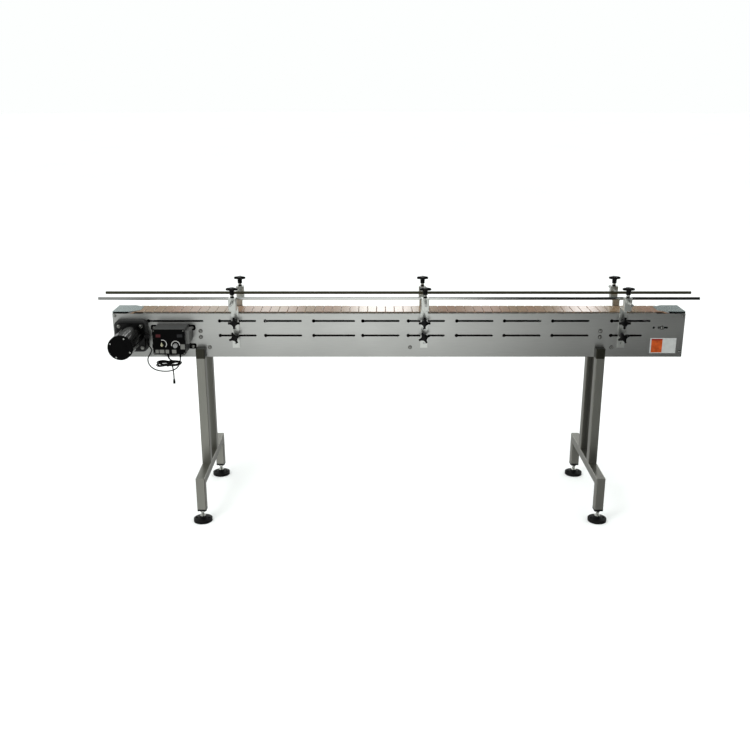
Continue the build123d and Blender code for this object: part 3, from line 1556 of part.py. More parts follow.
def hex_bolt(x, z, face, tip, radius, half_flats, height):
    """A hexagon head on a face square to y, with its shank to the tip."""
    away = math.copysign(1, face - tip)
    head_from = face + away * running_fit
    hex_bar(x, z, half_flats, head_from, head_from + away * height)
    rod_across(x, z, radius, head_from, tip)


# Bolts, nuts and roller axles that hold the frame together
with BuildPart() as frame_bolts:
    tab_face = inner_side - saddle_sheet
    nut_height = bolt_head_height
    for leg_x in (left_leg, right_leg):
        for side in (-1, 1):
            for rise in leg_bolt_heights:
                z = frame_bottom + rise
                tip = side * (tab_face - nut_height)
                hex_bolt(leg_x, z, side * outer_side, tip, bolt_radius, bolt_head, bolt_head_height)
                nut_from = side * (tab_face - running_fit)
                hex_bar(leg_x, z, bolt_head, nut_from, side * (tab_face - nut_height))
            z = frame_bottom + column_bolt_height
            tip = side * (tab_face + column_bolt_length)
            hex_bolt(leg_x, z, side * tab_face, tip, bolt_radius, bolt_head, bolt_head_height)
    for share in roller_shares:
        x = share * frame_length
        rod_across(x, roller_height, axle_radius, -outer_side, outer_side)
        for side in (-1, 1):
            head_from = side * (outer_side + running_fit)
            head_to = side * (outer_side + bolt_head_height)
            hex_bar(x, roller_height, axle_head, head_from, head_to)
            rod_across(x, roller_height, axle_radius, side * outer_side, head_from)
    for side in (-1, 1):
        tip = side * (tail_half - take_up_depth + seat_gap)
        face = side * outer_side
        hex_bolt(shaft_x, shaft_height, face, tip, bolt_radius, bolt_head, bolt_head_height)
        for end in (-1, 1):
            for drop in (cover_screw_top, cover_screw_bottom):
                x = end * (half_length - cover_screw_inset)
                z = frame_top - drop
                tip = side * (inner_side - cover_sheet - small_bolt_head_height)
                size = (small_bolt_radius, small_bolt_head, small_bolt_head_height)
                hex_bolt(x, z, face, tip, *size)
                nut_face_y = side * (inner_side - cover_sheet - running_fit)
                hex_bar(x, z, small_bolt_head, nut_face_y, tip)
        for x, z in bearing_bolts:
            bearing_face = side * (inner_side - bolt_radius - running_fit)
            nut_tip = side * (inner_side - bolt_radius - small_bolt_head_height)
            if side > 0:
                hex_bolt(x, z, face, nut_tip, *size)
            else:
                rod_across(x, z, small_bolt_radius, -outer_side + running_fit, nut_tip)
            hex_bar(x, z, small_bolt_head, bearing_face, nut_tip)
    for x, z in case_bolts:
        head_from = -inner_side + running_fit
        rod_across(x, z, small_bolt_head, head_from, head_from + thin_head_height)
        rod_across(x, z, small_bolt_radius, head_from, thread_end + seat_gap)
    for x, z in motor_bolts:
        tip = motor_thread_end - seat_gap
        hex_bolt(x, z, -flange_front, tip, bolt_radius, bolt_head, bolt_head_height)
    for x, z in ear_bolts:
        size = (small_bolt_radius, small_bolt_head, small_bolt_head_height)
        tip = -inner_side + small_bolt_head_height
        hex_bolt(x, z, -outer_side - box_plate, tip, *size)
        hex_bar(x, z, small_bolt_head, -inner_side + running_fit, tip)
    for x, z in face_screws:
        head_from = -face_front - running_fit
        rod_across(x, z, face_screw_head, head_from, head_from - face_screw_height)
        rod_across(x, z, face_screw_radius, head_from, -box_front + face_screw_length - seat_gap)
frame_bolts.part.label = "frame_bolts"
export_step(frame_bolts.part, "parts/frame_bolts.step")
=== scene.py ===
"""Looks of the table-top chain conveyor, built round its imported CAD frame."""
import json
import math

import bmesh
import bpy
from mathutils import Matrix, Vector


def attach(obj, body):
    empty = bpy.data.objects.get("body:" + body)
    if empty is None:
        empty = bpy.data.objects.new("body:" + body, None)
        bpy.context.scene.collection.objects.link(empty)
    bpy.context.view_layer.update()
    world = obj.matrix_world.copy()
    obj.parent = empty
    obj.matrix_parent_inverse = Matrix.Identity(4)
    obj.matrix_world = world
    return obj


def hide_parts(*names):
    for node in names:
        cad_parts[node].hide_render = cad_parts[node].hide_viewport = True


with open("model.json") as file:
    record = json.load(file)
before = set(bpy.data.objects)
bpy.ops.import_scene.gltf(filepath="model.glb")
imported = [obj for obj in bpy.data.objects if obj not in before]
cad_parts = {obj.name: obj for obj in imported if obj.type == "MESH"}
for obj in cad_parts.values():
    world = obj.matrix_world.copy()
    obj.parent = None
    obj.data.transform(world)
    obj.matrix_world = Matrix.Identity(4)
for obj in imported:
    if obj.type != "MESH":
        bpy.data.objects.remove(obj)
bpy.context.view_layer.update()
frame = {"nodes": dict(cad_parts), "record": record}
nodes = frame["nodes"]
scene = bpy.context.scene


def metres(*values):
    """Millimetres to metres."""
    return tuple(v / 1000 for v in values)


def link(obj):
    """Puts a new object into the scene."""
    scene.collection.objects.link(obj)
    return obj


def box_of(name):
    """Lowest and highest corner of a CAD node, in millimetres."""
    points = [vertex.co * 1000 for vertex in nodes[name].data.vertices]
    low = Vector([min(axis) for axis in zip(*points)])
    high = Vector([max(axis) for axis in zip(*points)])
    return low, high


def middle_of(name):
    """Middle of a CAD node's box, in millimetres."""
    low, high = box_of(name)
    return (low + high) / 2


# Camera, at the photograph's place
camera_place = (-0.1019, -3.8648, 1.8117)
camera_tilt = math.radians(72.36)
camera_data = bpy.data.cameras.new("camera")
camera_data.sensor_width = 36.0
camera_data.lens = 44.10
camera = link(bpy.data.objects.new("camera", camera_data))
camera.location = camera_place
camera.rotation_euler = (camera_tilt, 0, 0)
scene.camera = camera


# Cords
cord_radius = 2.5


def cord_curve(name, points):
    """A cord as one smooth spline along control points in millimetres."""
    curve = bpy.data.curves.new(name, "CURVE")
    curve.dimensions = "3D"
    spline = curve.splines.new("NURBS")
    spline.points.add(len(points) - 1)
    for target, point in zip(spline.points, points):
        target.co = (*metres(*point), 1)
        target.radius = cord_radius / 1000
    spline.order_u = 3
    spline.use_endpoint_u = True
    spline.resolution_u = 8
    curve.bevel_depth = 1.0
    curve.bevel_resolution = 5
    curve.use_fill_caps = True
    return link(bpy.data.objects.new(name, curve))


motor_lead_points = [
    (-1068.0, -104.75, 769.0),
    (-1068.0, -104.75, 757.5),
    (-1062.5, -104.3, 746.0),
    (-1051.0, -103.5, 728.0),
    (-1060.5, -103.0, 710.0),
    (-1072.0, -102.0, 693.0),
    (-1073.5, -101.0, 671.5),
    (-1063.0, -100.0, 651.0),
    (-1044.0, -99.0, 637.5),
    (-1017.0, -98.0, 631.0),
    (-986.0, -97.0, 630.5),
    (-958.0, -96.0, 639.0),
    (-941.0, -95.5, 658.0),
    (-934.0, -95.0, 686.5),
    (-934.0, -95.0, 712.0),
]
supply_lead_points = [
    (-982.6, -110.0, 712.0),
    (-982.6, -110.0, 699.5),
    (-977.5, -110.0, 687.5),
    (-967.3, -110.0, 681.8),
]
supply_tail_points = [
    (-982.5, -110.0, 676.2),
    (-972.5, -110.5, 669.5),
    (-967.0, -111.5, 657.5),
    (-965.0, -112.0, 641.0),
    (-964.0, -112.0, 621.0),
    (-964.0, -112.0, 601.5),
]
hank_centre = (-974.8, -140.0, 679.0)
hank_half_run = 23.5
hank_rise = 2.8
hank_fans = [-1.0, 3.0, -4.0, 1.0, -3.0, 3.0, 4.5, -1.5, 1.0, -3.5]
inner_fold = 15.5
fold_step = 2.9
waist_drop = 5.0
waist_slope = 0.1
fold_points = 4
half_turns = len(hank_fans)
hank_folds = [inner_fold + fold_step * abs(i - half_turns // 2) for i in range(half_turns + 1)]


def waist_of(fold):
    """How far a run lies from the middle line where the tie draws the hank in."""
    return fold - waist_drop + waist_slope * (fold - inner_fold)


def hank_points():
    """The hank's turns: points round each fold, and four along each run."""
    points = []
    side = end = 1
    rise = hank_rise
    last_fold = len(hank_folds) - 2
    for i, (before, after, fan) in enumerate(zip(hank_folds, hank_folds[1:], hank_fans)):
        radius = (before + after) / 2
        centre_y = side * (before - after) / 2
        half_step = math.pi / (2 * fold_points)
        reach = radius / math.cos(half_step)
        for step in range(fold_points):
            turn = (2 * step + 1) * half_step
            x = end * (hank_half_run + reach * math.sin(turn))
            points.append((x, centre_y + side * reach * math.cos(turn), rise + fan))
        side = -side
        if i < last_fold:
            next_rise = -hank_rise if i == last_fold // 2 else rise
            waist = side * waist_of(after)
            middle = (rise + next_rise) / 2
            for share, y, z in (
                (0.75, side * after, rise + fan / 2),
                (0.25, waist, (rise + middle) / 2),
                (-0.25, waist, (middle + next_rise) / 2),
                (-0.75, side * after, next_rise),
            ):
                points.append((end * hank_half_run * share, y, z))
            rise = next_rise
        end = -end
    return [tuple(c + p for c, p in zip(hank_centre, point)) for point in points]


motor_lead = cord_curve("motor_lead_cord", motor_lead_points)
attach(motor_lead, "frame")
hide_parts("motor_lead")

supply_cord = cord_curve(
    "supply_cord", supply_lead_points + hank_points() + supply_tail_points
)
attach(supply_cord, "frame")
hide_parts("supply_lead", "supply_hank")


# Materials
noise_low, noise_high = 0.3, 0.7
metal_grain, metal_smudge = 14.0, 4.5
plastic_cloud, plastic_grain = 30.0, 1400.0
paint_cloud, paint_peel = 14.0, 420.0
film_cloud = 60.0
slat_tint, slat_fleck = 7.0, 90.0
colour_spread = 0.15
plastic_depth, paint_depth, metal_depth, slat_depth = 0.00004, 0.00006, 0.00001, 0.00003


def set_stops(ramp, stops):
    """Gives a colour ramp its (position, colour) stops."""
    while len(ramp.elements) < len(stops):
        ramp.elements.new(0.5)
    for element, (position, colour) in zip(ramp.elements, stops):
        element.position = position
        element.color = (*colour, 1)


class Shader:
    """A node material whose colour, roughness and relief come from noise nodes."""

    def __init__(self, name, metallic=0.0, **sockets):
        self.material = bpy.data.materials.new(name)
        self.material.use_nodes = True
        self.tree = self.material.node_tree
        self.bsdf = self.tree.nodes["Principled BSDF"]
        self.bsdf.inputs["Metallic"].default_value = metallic
        for socket, value in sockets.items():
            self.bsdf.inputs[socket.replace("_", " ")].default_value = value
        self.place = self.tree.nodes.new("ShaderNodeTexCoord").outputs["Object"]

    def join(self, output, target):
        """Links an output to an input."""
        self.tree.links.new(output, target)

    def noise(self, scale, stretch=(1, 1, 1), detail=4.0):
        """Noise over the model's own coordinates, finer along the larger stretches."""
        mapping = self.tree.nodes.new("ShaderNodeMapping")
        mapping.inputs["Scale"].default_value = stretch
        self.join(self.place, mapping.inputs["Vector"])
        noise = self.tree.nodes.new("ShaderNodeTexNoise")
        noise.inputs["Scale"].default_value = scale
        noise.inputs["Detail"].default_value = detail
        self.join(mapping.outputs["Vector"], noise.inputs["Vector"])
        return noise.outputs["Fac"]

    def along(self, axis, low, high):
        """0 to 1 over a stretch of the model's own x, y or z, in metres."""
        split = self.tree.nodes.new("ShaderNodeSeparateXYZ")
        self.join(self.place, split.inputs["Vector"])
        return self.remap(split.outputs[axis], 0.0, 1.0, low, high)

    def ramp(self, factor, stops, steps=False):
        """Colour by position, blended or in steps."""
        ramp = self.tree.nodes.new("ShaderNodeValToRGB")
        if steps:
            ramp.color_ramp.interpolation = "CONSTANT"
        set_stops(ramp.color_ramp, stops)
        self.join(factor, ramp.inputs["Fac"])
        return ramp.outputs["Color"]

    def mixed(self, factor, first, second):
        """A blend of two colours."""
        node = self.tree.nodes.new("ShaderNodeMix")
        node.data_type = "RGBA"
        self.join(factor, node.inputs["Factor"])
        self.join(first, node.inputs["A"])
        self.join(second, node.inputs["B"])
        return node.outputs["Result"]

    def remap(self, factor, low, high, start=noise_low, stop=noise_high):
        """Stretches start to stop into low to high."""
        node = self.tree.nodes.new("ShaderNodeMapRange")
        for name, value in (
            ("From Min", start),
            ("From Max", stop),
            ("To Min", low),
            ("To Max", high),
        ):
            node.inputs[name].default_value = value
        self.join(factor, node.inputs["Value"])
        return node.outputs["Result"]

    def colour(self, output):
        """Sets the base colour."""
        self.join(output, self.bsdf.inputs["Base Color"])

    def roughness(self, factor, low, high):
        """Lets the roughness follow a noise."""
        self.join(self.remap(factor, low, high), self.bsdf.inputs["Roughness"])

    def relief(self, height, depth):
        """Bumps that are some depth in metres."""
        bump = self.tree.nodes.new("ShaderNodeBump")
        bump.inputs["Distance"].default_value = depth
        self.join(height, bump.inputs["Height"])
        self.join(bump.outputs["Normal"], self.bsdf.inputs["Normal"])


def shade(colour, factor):
    """A colour made darker or lighter."""
    return tuple(min(1.0, c * factor) for c in colour)


def between(colour, spread):
    """Ramp stops from a little darker to a little lighter than a colour."""
    return [(noise_low, shade(colour, 1 - spread)), (noise_high, shade(colour, 1 + spread))]


def brushed(
    name, colour, stretch, rough, spread=0.05, depth=metal_depth, top=None, fade=None, metallic=1.0
):
    """Brushed metal: fine grain along one axis, with faint cloudy smudges.

    top gives a height in metres above which another colour starts, and fade the two heights
    between which the colour grows from a share of itself to its full value.
    """
    s = Shader(name, metallic=metallic)
    grain = s.noise(metal_grain, stretch, detail=5.0)
    cloud = s.noise(metal_smudge, detail=3.0)
    tone = s.ramp(grain, between(colour, spread))
    if top:
        height, dark = top
        above = s.ramp(grain, between(dark, spread))
        step = s.ramp(s.along("Z", 0, 1), [(0, (0, 0, 0)), (height, (1, 1, 1))], steps=True)
        tone = s.mixed(step, tone, above)
    if fade:
        low, high, share = fade
        below = s.ramp(grain, between(shade(colour, share), spread))
        tone = s.mixed(s.along("Z", low, high), below, tone)
    s.colour(tone)
    s.roughness(cloud, *rough)
    s.relief(grain, depth)
    return s.material


def moulded(name, colour, rough, gloss=0.2, grain_scale=plastic_grain):
    """Moulded plastic or rubber: fine grain with a slow variation of colour."""
    s = Shader(name, Specular_IOR_Level=gloss)
    cloud = s.noise(plastic_cloud, detail=3.0)
    grain = s.noise(grain_scale, detail=2.0)
    s.colour(s.ramp(cloud, between(colour, colour_spread)))
    s.roughness(cloud, *rough)
    s.relief(grain, plastic_depth)
    return s.material


def painted(name, colour, rough, gloss=0.25, depth=paint_depth):
    """Enamel or powder coat: slight orange peel over an even colour."""
    s = Shader(name, Specular_IOR_Level=gloss)
    cloud = s.noise(paint_cloud, detail=3.0)
    peel = s.noise(paint_peel, detail=1.0)
    s.colour(s.ramp(cloud, between(colour, colour_spread)))
    s.roughness(cloud, *rough)
    s.relief(peel, depth)
    return s.material


film_gloss = 0.2
film_rough = (0.35, 0.5)
film_rows = (0.04, 0.84, 0.95)
film_columns = (0.05, 0.47)


def label_film(name, colour):
    """A blank printed film: even colour with slight gloss changes."""
    s = Shader(name, Specular_IOR_Level=film_gloss)
    cloud = s.noise(film_cloud, detail=3.0)
    s.colour(s.ramp(cloud, between(colour, 0.08)))
    s.roughness(cloud, *film_rough)
    return s.material


def plate_film():
    """The blank label on the side plate: a pale rim, an orange half and a pale half."""
    corners = [v.co for v in nodes["blank_labels"].data.vertices if v.co.x > 0]
    x_span = min(c.x for c in corners), max(c.x for c in corners)
    z_span = min(c.z for c in corners), max(c.z for c in corners)
    s = Shader("label_plate", Specular_IOR_Level=film_gloss)
    cloud = s.noise(film_cloud, detail=3.0)
    pale = s.ramp(cloud, between((0.36, 0.37, 0.36), 0.06))
    orange = s.ramp(cloud, between((0.34, 0.05, 0.003), 0.3))
    band = s.ramp(cloud, between((0.2, 0.008, 0.002), 0.1))
    on, off = (1, 1, 1), (0, 0, 0)
    across, upward = s.along("X", *x_span), s.along("Z", *z_span)
    foot, header, head = film_rows
    left, right = film_columns
    in_header = s.ramp(upward, [(0, off), (header, on), (head, off)], steps=True)
    in_rim = s.ramp(upward, [(0, on), (foot, off), (head, on)], steps=True)
    in_half = s.ramp(across, [(0, off), (left, on), (right, off)], steps=True)
    tone = s.mixed(in_header, orange, band)
    tone = s.mixed(in_rim, tone, pale)
    s.colour(s.mixed(in_half, pale, tone))
    s.roughness(cloud, *film_rough)
    return s.material


def chain_look(name, colour, rough):
    """Acetal slats: near-even tan, a little greener or pinker from place to place."""
    s = Shader(name, Specular_IOR_Level=0.5)
    tint = s.noise(slat_tint, (1, 0.2, 0.2), detail=2.0)
    fleck = s.noise(slat_fleck, (1, 4, 1), detail=3.0)
    red, green, blue = colour
    pinker = s.ramp(fleck, between(colour, 0.06))
    greener = s.ramp(fleck, between((red * 0.92, green * 1.08, blue), 0.06))
    s.colour(s.mixed(s.remap(tint, 0, 1, 0.4, 0.6), pinker, greener))
    s.roughness(fleck, *rough)
    s.relief(fleck, slat_depth)
    return s.material


along_x, along_y, along_z = (1, 60, 60), (60, 1, 60), (60, 60, 1)
stainless = brushed(
    "brushed_stainless", (0.6, 0.61, 0.585), along_x, (0.29, 0.35), fade=(0.69, 0.81, 0.8)
)
rod_steel = brushed("rod_steel", (0.5, 0.51, 0.49), along_y, (0.3, 0.36), 0.03, 0.000003)
# Painted shade: a near-black copy of the steel for the plates' inner faces, and black for the slot
# walls, so the slots and the inside of the frame read as shaded.
inner_painted_shade = brushed("inner_painted_shade", (0.012, 0.012, 0.011), along_x, (0.6, 0.7))
slot_painted_shade = painted("slot_painted_shade", (0.004, 0.004, 0.004), (0.6, 0.7), gloss=0.05)
cover_steel = brushed(
    "cover_steel", (0.4, 0.48, 0.47), along_y, (0.22, 0.25), 0.02, 0.000002, metallic=0.8
)
leg_steel = brushed(
    "leg_steel", (0.32, 0.32, 0.285), along_z, (0.3, 0.36), top=(0.6855, (0.05, 0.05, 0.038))
)
front_rail_steel = brushed("front_rail_steel", (0.62, 0.63, 0.61), along_x, (0.1, 0.16))
# Painted shade: the rear guide rail is a dark copy of the rail steel; the front rail stays bright.
rear_rail_painted_shade = brushed("rear_rail_painted_shade", (0.088, 0.085, 0.055), along_x, (0.5, 0.6))
bracket_steel = brushed("bracket_steel", (0.74, 0.76, 0.72), along_z, (0.3, 0.34), 0.03, 0.000003)
bearing_steel = brushed("bearing_steel", (0.5, 0.5, 0.49), along_y, (0.2, 0.34))
bolt_steel = brushed("bolt_steel", (0.5, 0.51, 0.48), along_y, (0.16, 0.2), 0.03, 0.000002)
nut_steel = brushed("nut_steel", (0.2, 0.2, 0.185), along_y, (0.3, 0.4), 0.03, 0.000003)
# Painted shade: a dark steel for the washers, standing in for the shadow round each bolt head.
washer_painted_shade = brushed("washer_painted_shade", (0.06, 0.06, 0.055), along_y, (0.4, 0.5))
switch_metal = brushed("switch_metal", (0.72, 0.7, 0.5), along_y, (0.14, 0.24))
grey_casting = painted("grey_casting", (0.026, 0.026, 0.026), (0.38, 0.5), 0.15, depth=0.0002)
black_enamel = painted("black_enamel", (0.002, 0.002, 0.002), (0.11, 0.15), 0.3)
cap_black = painted("cap_black", (0.002, 0.002, 0.002), (0.5, 0.6), 0.04)
box_black = painted("box_black", (0.002, 0.002, 0.002), (0.36, 0.44), 0.03)
box_grey = painted("box_grey", (0.042, 0.043, 0.042), (0.3, 0.38), 0.2)
fin_grey = painted("fin_grey", (0.12, 0.12, 0.115), (0.4, 0.5))
black_plastic = moulded("black_plastic", (0.004, 0.004, 0.004), (0.4, 0.55))
knob_black = moulded("knob_black", (0.002, 0.002, 0.002), (0.2, 0.28), 0.12)
foot_black = moulded("foot_black", (0.003, 0.003, 0.003), (0.45, 0.6))
cord_black = moulded("cord_black", (0.003, 0.003, 0.003), (0.42, 0.55), 0.15, 900.0)
wear_plastic = moulded("wear_plastic", (0.2, 0.2, 0.18), (0.4, 0.5))
roller_plastic = moulded("roller_plastic", (0.02, 0.02, 0.02), (0.4, 0.5))
dial_grey = moulded("dial_grey", (0.2, 0.2, 0.2), (0.4, 0.5))
scale_grey = label_film("scale_grey", (0.35, 0.35, 0.34))
chain_plastic = chain_look("chain_plastic", (0.26, 0.147, 0.088), (0.14, 0.2))
# Painted shade for the slats' ends and undersides: a dark copy of the chain plastic.
chain_painted_shade = chain_look("chain_painted_shade", (0.035, 0.018, 0.014), (0.5, 0.6))

looks = {
    "brushed_stainless": stainless,
    "cover_sheet": cover_steel,
    "wear_plastic": wear_plastic,
    "bearing_steel": bearing_steel,
    "leg_steel": leg_steel,
    "black_plastic": black_plastic,
    "bolt_steel": bolt_steel,
    "grey_casting": grey_casting,
    "black_enamel": black_enamel,
    "box_black": box_black,
    "cord_sheath": cord_black,
    "chain_plastic": chain_plastic,
    "sprocket_plastic": roller_plastic,
    "roller_plastic": roller_plastic,
    "rail_steel": rear_rail_painted_shade,
    "bracket_steel": bracket_steel,
    "knob_black": knob_black,
    "foot_black": foot_black,
    "dial_grey": dial_grey,
    "switch_metal": switch_metal,
    "label_film": scale_grey,
}


def paint(name, choose, *materials):
    """Gives each face of a CAD node one of the materials, by its centre in millimetres."""
    mesh = nodes[name].data
    mesh.materials.clear()
    for material in materials:
        mesh.materials.append(material)
    for face in mesh.polygons:
        face.material_index = choose(face.center * 1000, face.normal)


plate_low, plate_high = box_of("rear_side_plate")
slat_top = box_of("belt_top_run")[1].z
box_middle = middle_of("control_box_cover")
slot_low, slot_high, slot_end = 700, 866, 1215
slat_top_depth = 5.2
foot_pad_height = 25.5
face_on, edge_on = 0.9, 0.5


def label_of(centre, normal):
    """The plate's label, the two displays at the top of the box, and the rest."""
    if centre.x > 0:
        return 0
    if centre.z > box_middle.z:
        return 1 if centre.x < box_middle.x else 2
    return 3


def plate_look(side):
    """Outer face, slot edges and inner face of a side plate; the slot edges and the inner face get
    painted shade.
    """

    def choose(centre, normal):
        if abs(normal.y) < edge_on:
            inside = slot_low < centre.z < slot_high and abs(centre.x) < slot_end
            return 1 if inside else 0
        return 2 if normal.y * side < 0 else 0

    return choose


def foot_look(centre, normal):
    """Rubber pad below, steel stud above."""
    return 1 if centre.z > foot_pad_height else 0


def slat_look(centre, normal):
    """The top in the chain's own colour; the ends and underside in painted shade."""
    return 1 if abs(normal.y) > face_on or centre.z < slat_top - slat_top_depth else 0


def return_look(centre, normal):
    """The return run hangs upside down, so its slats' tops face the floor; every other face gets
    painted shade.
    """
    return 0 if normal.z < -face_on else 1


slot_of = {s["node"]: s["material_slot"] for s in frame["record"]["subparts"]}
for name, obj in nodes.items():
    obj.data.materials.clear()
    obj.data.materials.append(looks[slot_of[name]])
films = (
    plate_film(),
    label_film("label_red", (0.05, 0.006, 0.008)),
    label_film("label_dark", (0.012, 0.012, 0.013)),
    label_film("label_grey", (0.13, 0.13, 0.12)),
)
paint("blank_labels", label_of, *films)
# Side plates: slot walls and inner faces in painted shade.
paint("front_side_plate", plate_look(-1), stainless, slot_painted_shade, inner_painted_shade)
paint("rear_side_plate", plate_look(1), stainless, slot_painted_shade, inner_painted_shade)
# Slat ends and undersides in painted shade.
paint("belt_top_run", slat_look, chain_plastic, chain_painted_shade)
paint("belt_return_run", return_look, chain_plastic, chain_painted_shade)
nodes["front_guide_rail"].data.materials[0] = front_rail_steel
nodes["frame_bolts"].data.materials[0] = nut_steel
for name in ("front_cross_rods", "rear_cross_rods"):
    nodes[name].data.materials[0] = rod_steel
for name in ("left_front", "left_rear", "right_front", "right_rear"):
    paint(f"{name}_foot", foot_look, foot_black, bolt_steel)
for cord in (motor_lead, supply_cord):
    cord.data.materials.append(cord_black)


# Pieces
sharp_angle = math.radians(35)


class Piece:
    """A mesh piece put together from turned and bevelled shapes, in millimetres."""

    corner_steps = 6
    open_share = 0.999

    def __init__(self, name, *materials):
        self.name = name
        self.materials = materials
        self.shape = bmesh.new()

    def rings(self, rings, look=0):
        """Skins a stack of rings with equally many points, and closes its ends."""
        faces = []
        verts = [[self.shape.verts.new(p / 1000) for p in ring] for ring in rings]
        faces.append(self.shape.faces.new(verts[0][::-1]))
        for low, high in zip(verts, verts[1:]):
            for i in range(len(low)):
                j = (i + 1) % len(low)
                faces.append(self.shape.faces.new((low[i], low[j], high[j], high[i])))
        faces.append(self.shape.faces.new(verts[-1]))
        for face in faces:
            face.material_index = look
            face.smooth = True

    def turned(self, origin, axis, profile, look=0, outline=None, turn=0, steps=32):
        """Turns (radius, height) pairs about an axis; an outline makes the radius a share."""
        upright = Vector(axis).to_track_quat("Z", "Y").to_matrix().to_4x4()
        place = Matrix.Translation(origin) @ upright
        rings = []
        for radius, height in profile:
            ring = []
            for i in range(steps):
                angle = math.tau * i / steps
                reach = outline(angle - math.radians(turn), radius) if outline else radius
                point = Vector((reach * math.cos(angle), reach * math.sin(angle), height))
                ring.append(place @ point)
            rings.append(ring)
        self.rings(rings, look)

    def block(self, low, high, edge, look=0, corner=0):
        """A block with chamfered edges, whose four edges along y are rounded more."""
        corner = max(corner, edge)
        corners = (
            (high[0] - corner, high[2] - corner, 0),
            (low[0] + corner, high[2] - corner, 90),
            (low[0] + corner, low[2] + corner, 180),
            (high[0] - corner, low[2] + corner, 270),
        )
        rings = []
        for y, inset in (
            (low[1], edge), (low[1] + edge, 0), (high[1] - edge, 0), (high[1], edge)
        ):
            ring = []
            for x, z, start in corners:
                reach = corner - inset * self.open_share
                for step in range(self.corner_steps + 1):
                    angle = math.radians(start + 90 * step / self.corner_steps)
                    ring.append(
                        Vector((x + reach * math.cos(angle), y, z + reach * math.sin(angle)))
                    )
            rings.append(ring)
        self.rings(rings, look)

    def finish(self, body, slot, *replaced):
        """Makes the object, and says which body it rides on and what it replaces."""
        mesh = bpy.data.meshes.new(self.name)
        bmesh.ops.recalc_face_normals(self.shape, faces=self.shape.faces)
        self.shape.to_mesh(mesh)
        self.shape.free()
        for material in self.materials:
            mesh.materials.append(material)
        mesh.set_sharp_from_angle(angle=sharp_angle)
        obj = link(bpy.data.objects.new(self.name, mesh))
        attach(obj, body)
        if replaced:
            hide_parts(*replaced)
        return obj


# Star knobs: a round head with four hollows, on a neck
star_radius, hollow_radius, hollow_circle, star_core = 25.0, 15.5, 28.0, 10.0
star_steps = 96


def star_reach(angle, share):
    """Distance to the outline of a four-lobed star, scaled from its core by a share."""
    lobe = (angle + math.pi / 4) % (math.pi / 2) - math.pi / 4
    off = math.pi / 4 - abs(lobe)
    reach = star_radius
    side = hollow_circle * math.sin(off)
    if side < hollow_radius:
        reach = min(reach, hollow_circle * math.cos(off) - math.sqrt(hollow_radius**2 - side**2))
    return star_core + (reach - star_core) * share


head_profile = [
    (0.0, 0.0), (0.5, 0.9), (0.88, 2.2), (0.98, 3.4), (1.0, 4.8), (1.0, 8.0),
    (0.96, 9.4), (0.75, 11.0), (0.35, 12.2), (0.0, 12.8), (-0.5, 13.0),
]
neck_length = 17.6
neck_profile = [(9.0, 0.0), (9.7, 0.7), (9.8, 9.0), (10.0, neck_length)]
rubber_profile = [(7.6, 0.1), (8.4, 0.8), (8.4, 4.2), (7.6, 5.0)]
collar_profile = [(6.4, 5.0), (6.6, 5.4), (6.6, 12.0), (6.4, 12.6)]


def stud_profile(length):
    """A chamfered stud."""
    return [(3.6, 0), (4, 0.6), (4, length)]


# Top knobs, one on each clamp block
sides = (("front", -1), ("rear", 1))
places = ("left", "centre", "right")
bracket_x = [middle_of(f"front_{place}_top_knob").x for place in places]
top_y = middle_of("rear_left_top_knob").y
stud_low = box_of("front_left_top_knob")[0].z
collar_gap = 0.05
collar_low = box_of("front_clamp_blocks")[1].z + collar_gap
neck_rise, star_rise, top_stud = 12.5, 30.0, 11
up = (0, 0, 1)
for side_name, side in sides:
    y = side * top_y
    for place, x in zip(places, bracket_x):
        knob = Piece(f"{side_name}_{place}_knob", knob_black, bolt_steel)
        knob.turned((x, y, stud_low), up, stud_profile(top_stud), 1)
        knob.turned((x, y, collar_low), up, rubber_profile)
        knob.turned((x, y, collar_low), up, collar_profile, 1)
        knob.turned((x, y, collar_low + neck_rise), up, neck_profile)
        star = (x, y, collar_low + star_rise)
        knob.turned(star, up, head_profile, outline=star_reach, steps=star_steps)
        knob.finish(
            f"{side_name}_{place}_top_knob", "knob_black", f"{side_name}_{place}_top_knob"
        )


# Side knobs: star, neck, stud and the nut plate inside the side plate
slot_rise, slot_spacing = 159.1, 64.0
upper_slots = plate_low.z + slot_rise
knob_rows = ((upper_slots, 0), (upper_slots - slot_spacing, 25))
side_neck = 30.0
strip_y = plate_high.y + 4.35
nut_y = plate_high.y - 2.55
nut_thickness, nut_half, nut_edge = 5.0, 8.5, 0.6
stud_end = nut_y - nut_thickness - 4.0
side_stud = 16
for side_name, side in sides:
    knobs = Piece(f"{side_name}_side_knob_set", knob_black, bolt_steel)
    out = (0, side, 0)
    neck = [(radius, height * side_neck / neck_length) for radius, height in neck_profile]
    low_y, high_y = sorted((side * (nut_y - nut_thickness), side * nut_y))
    for x in bracket_x:
        for z, turn in knob_rows:
            star = (x, side * (strip_y + side_neck), z)
            low = (x - nut_half, low_y, z - nut_half)
            high = (x + nut_half, high_y, z + nut_half)
            knobs.turned((x, side * strip_y, z), out, neck)
            knobs.turned(
                star, out, head_profile, outline=star_reach, turn=turn, steps=star_steps
            )
            knobs.turned((x, side * stud_end, z), out, stud_profile(side_stud), 1)
            knobs.block(low, high, nut_edge, 1)
    knobs.finish(f"{side_name}_guide", "knob_black", f"{side_name}_side_knobs")


# Round heads over the bolts, each with its socket
washer_height, washer_edge, washer_bore = 1.2, 0.3, 0.1
dome_share = 0.84
dome_shares = [
    (1.0, 0.3), (0.93, 0.58), (0.78, 0.82), (0.58, 0.96), (0.44, 1.0), (0.4, 0.98), (0.36, 0.6),
    (0.006, 0.55),
]


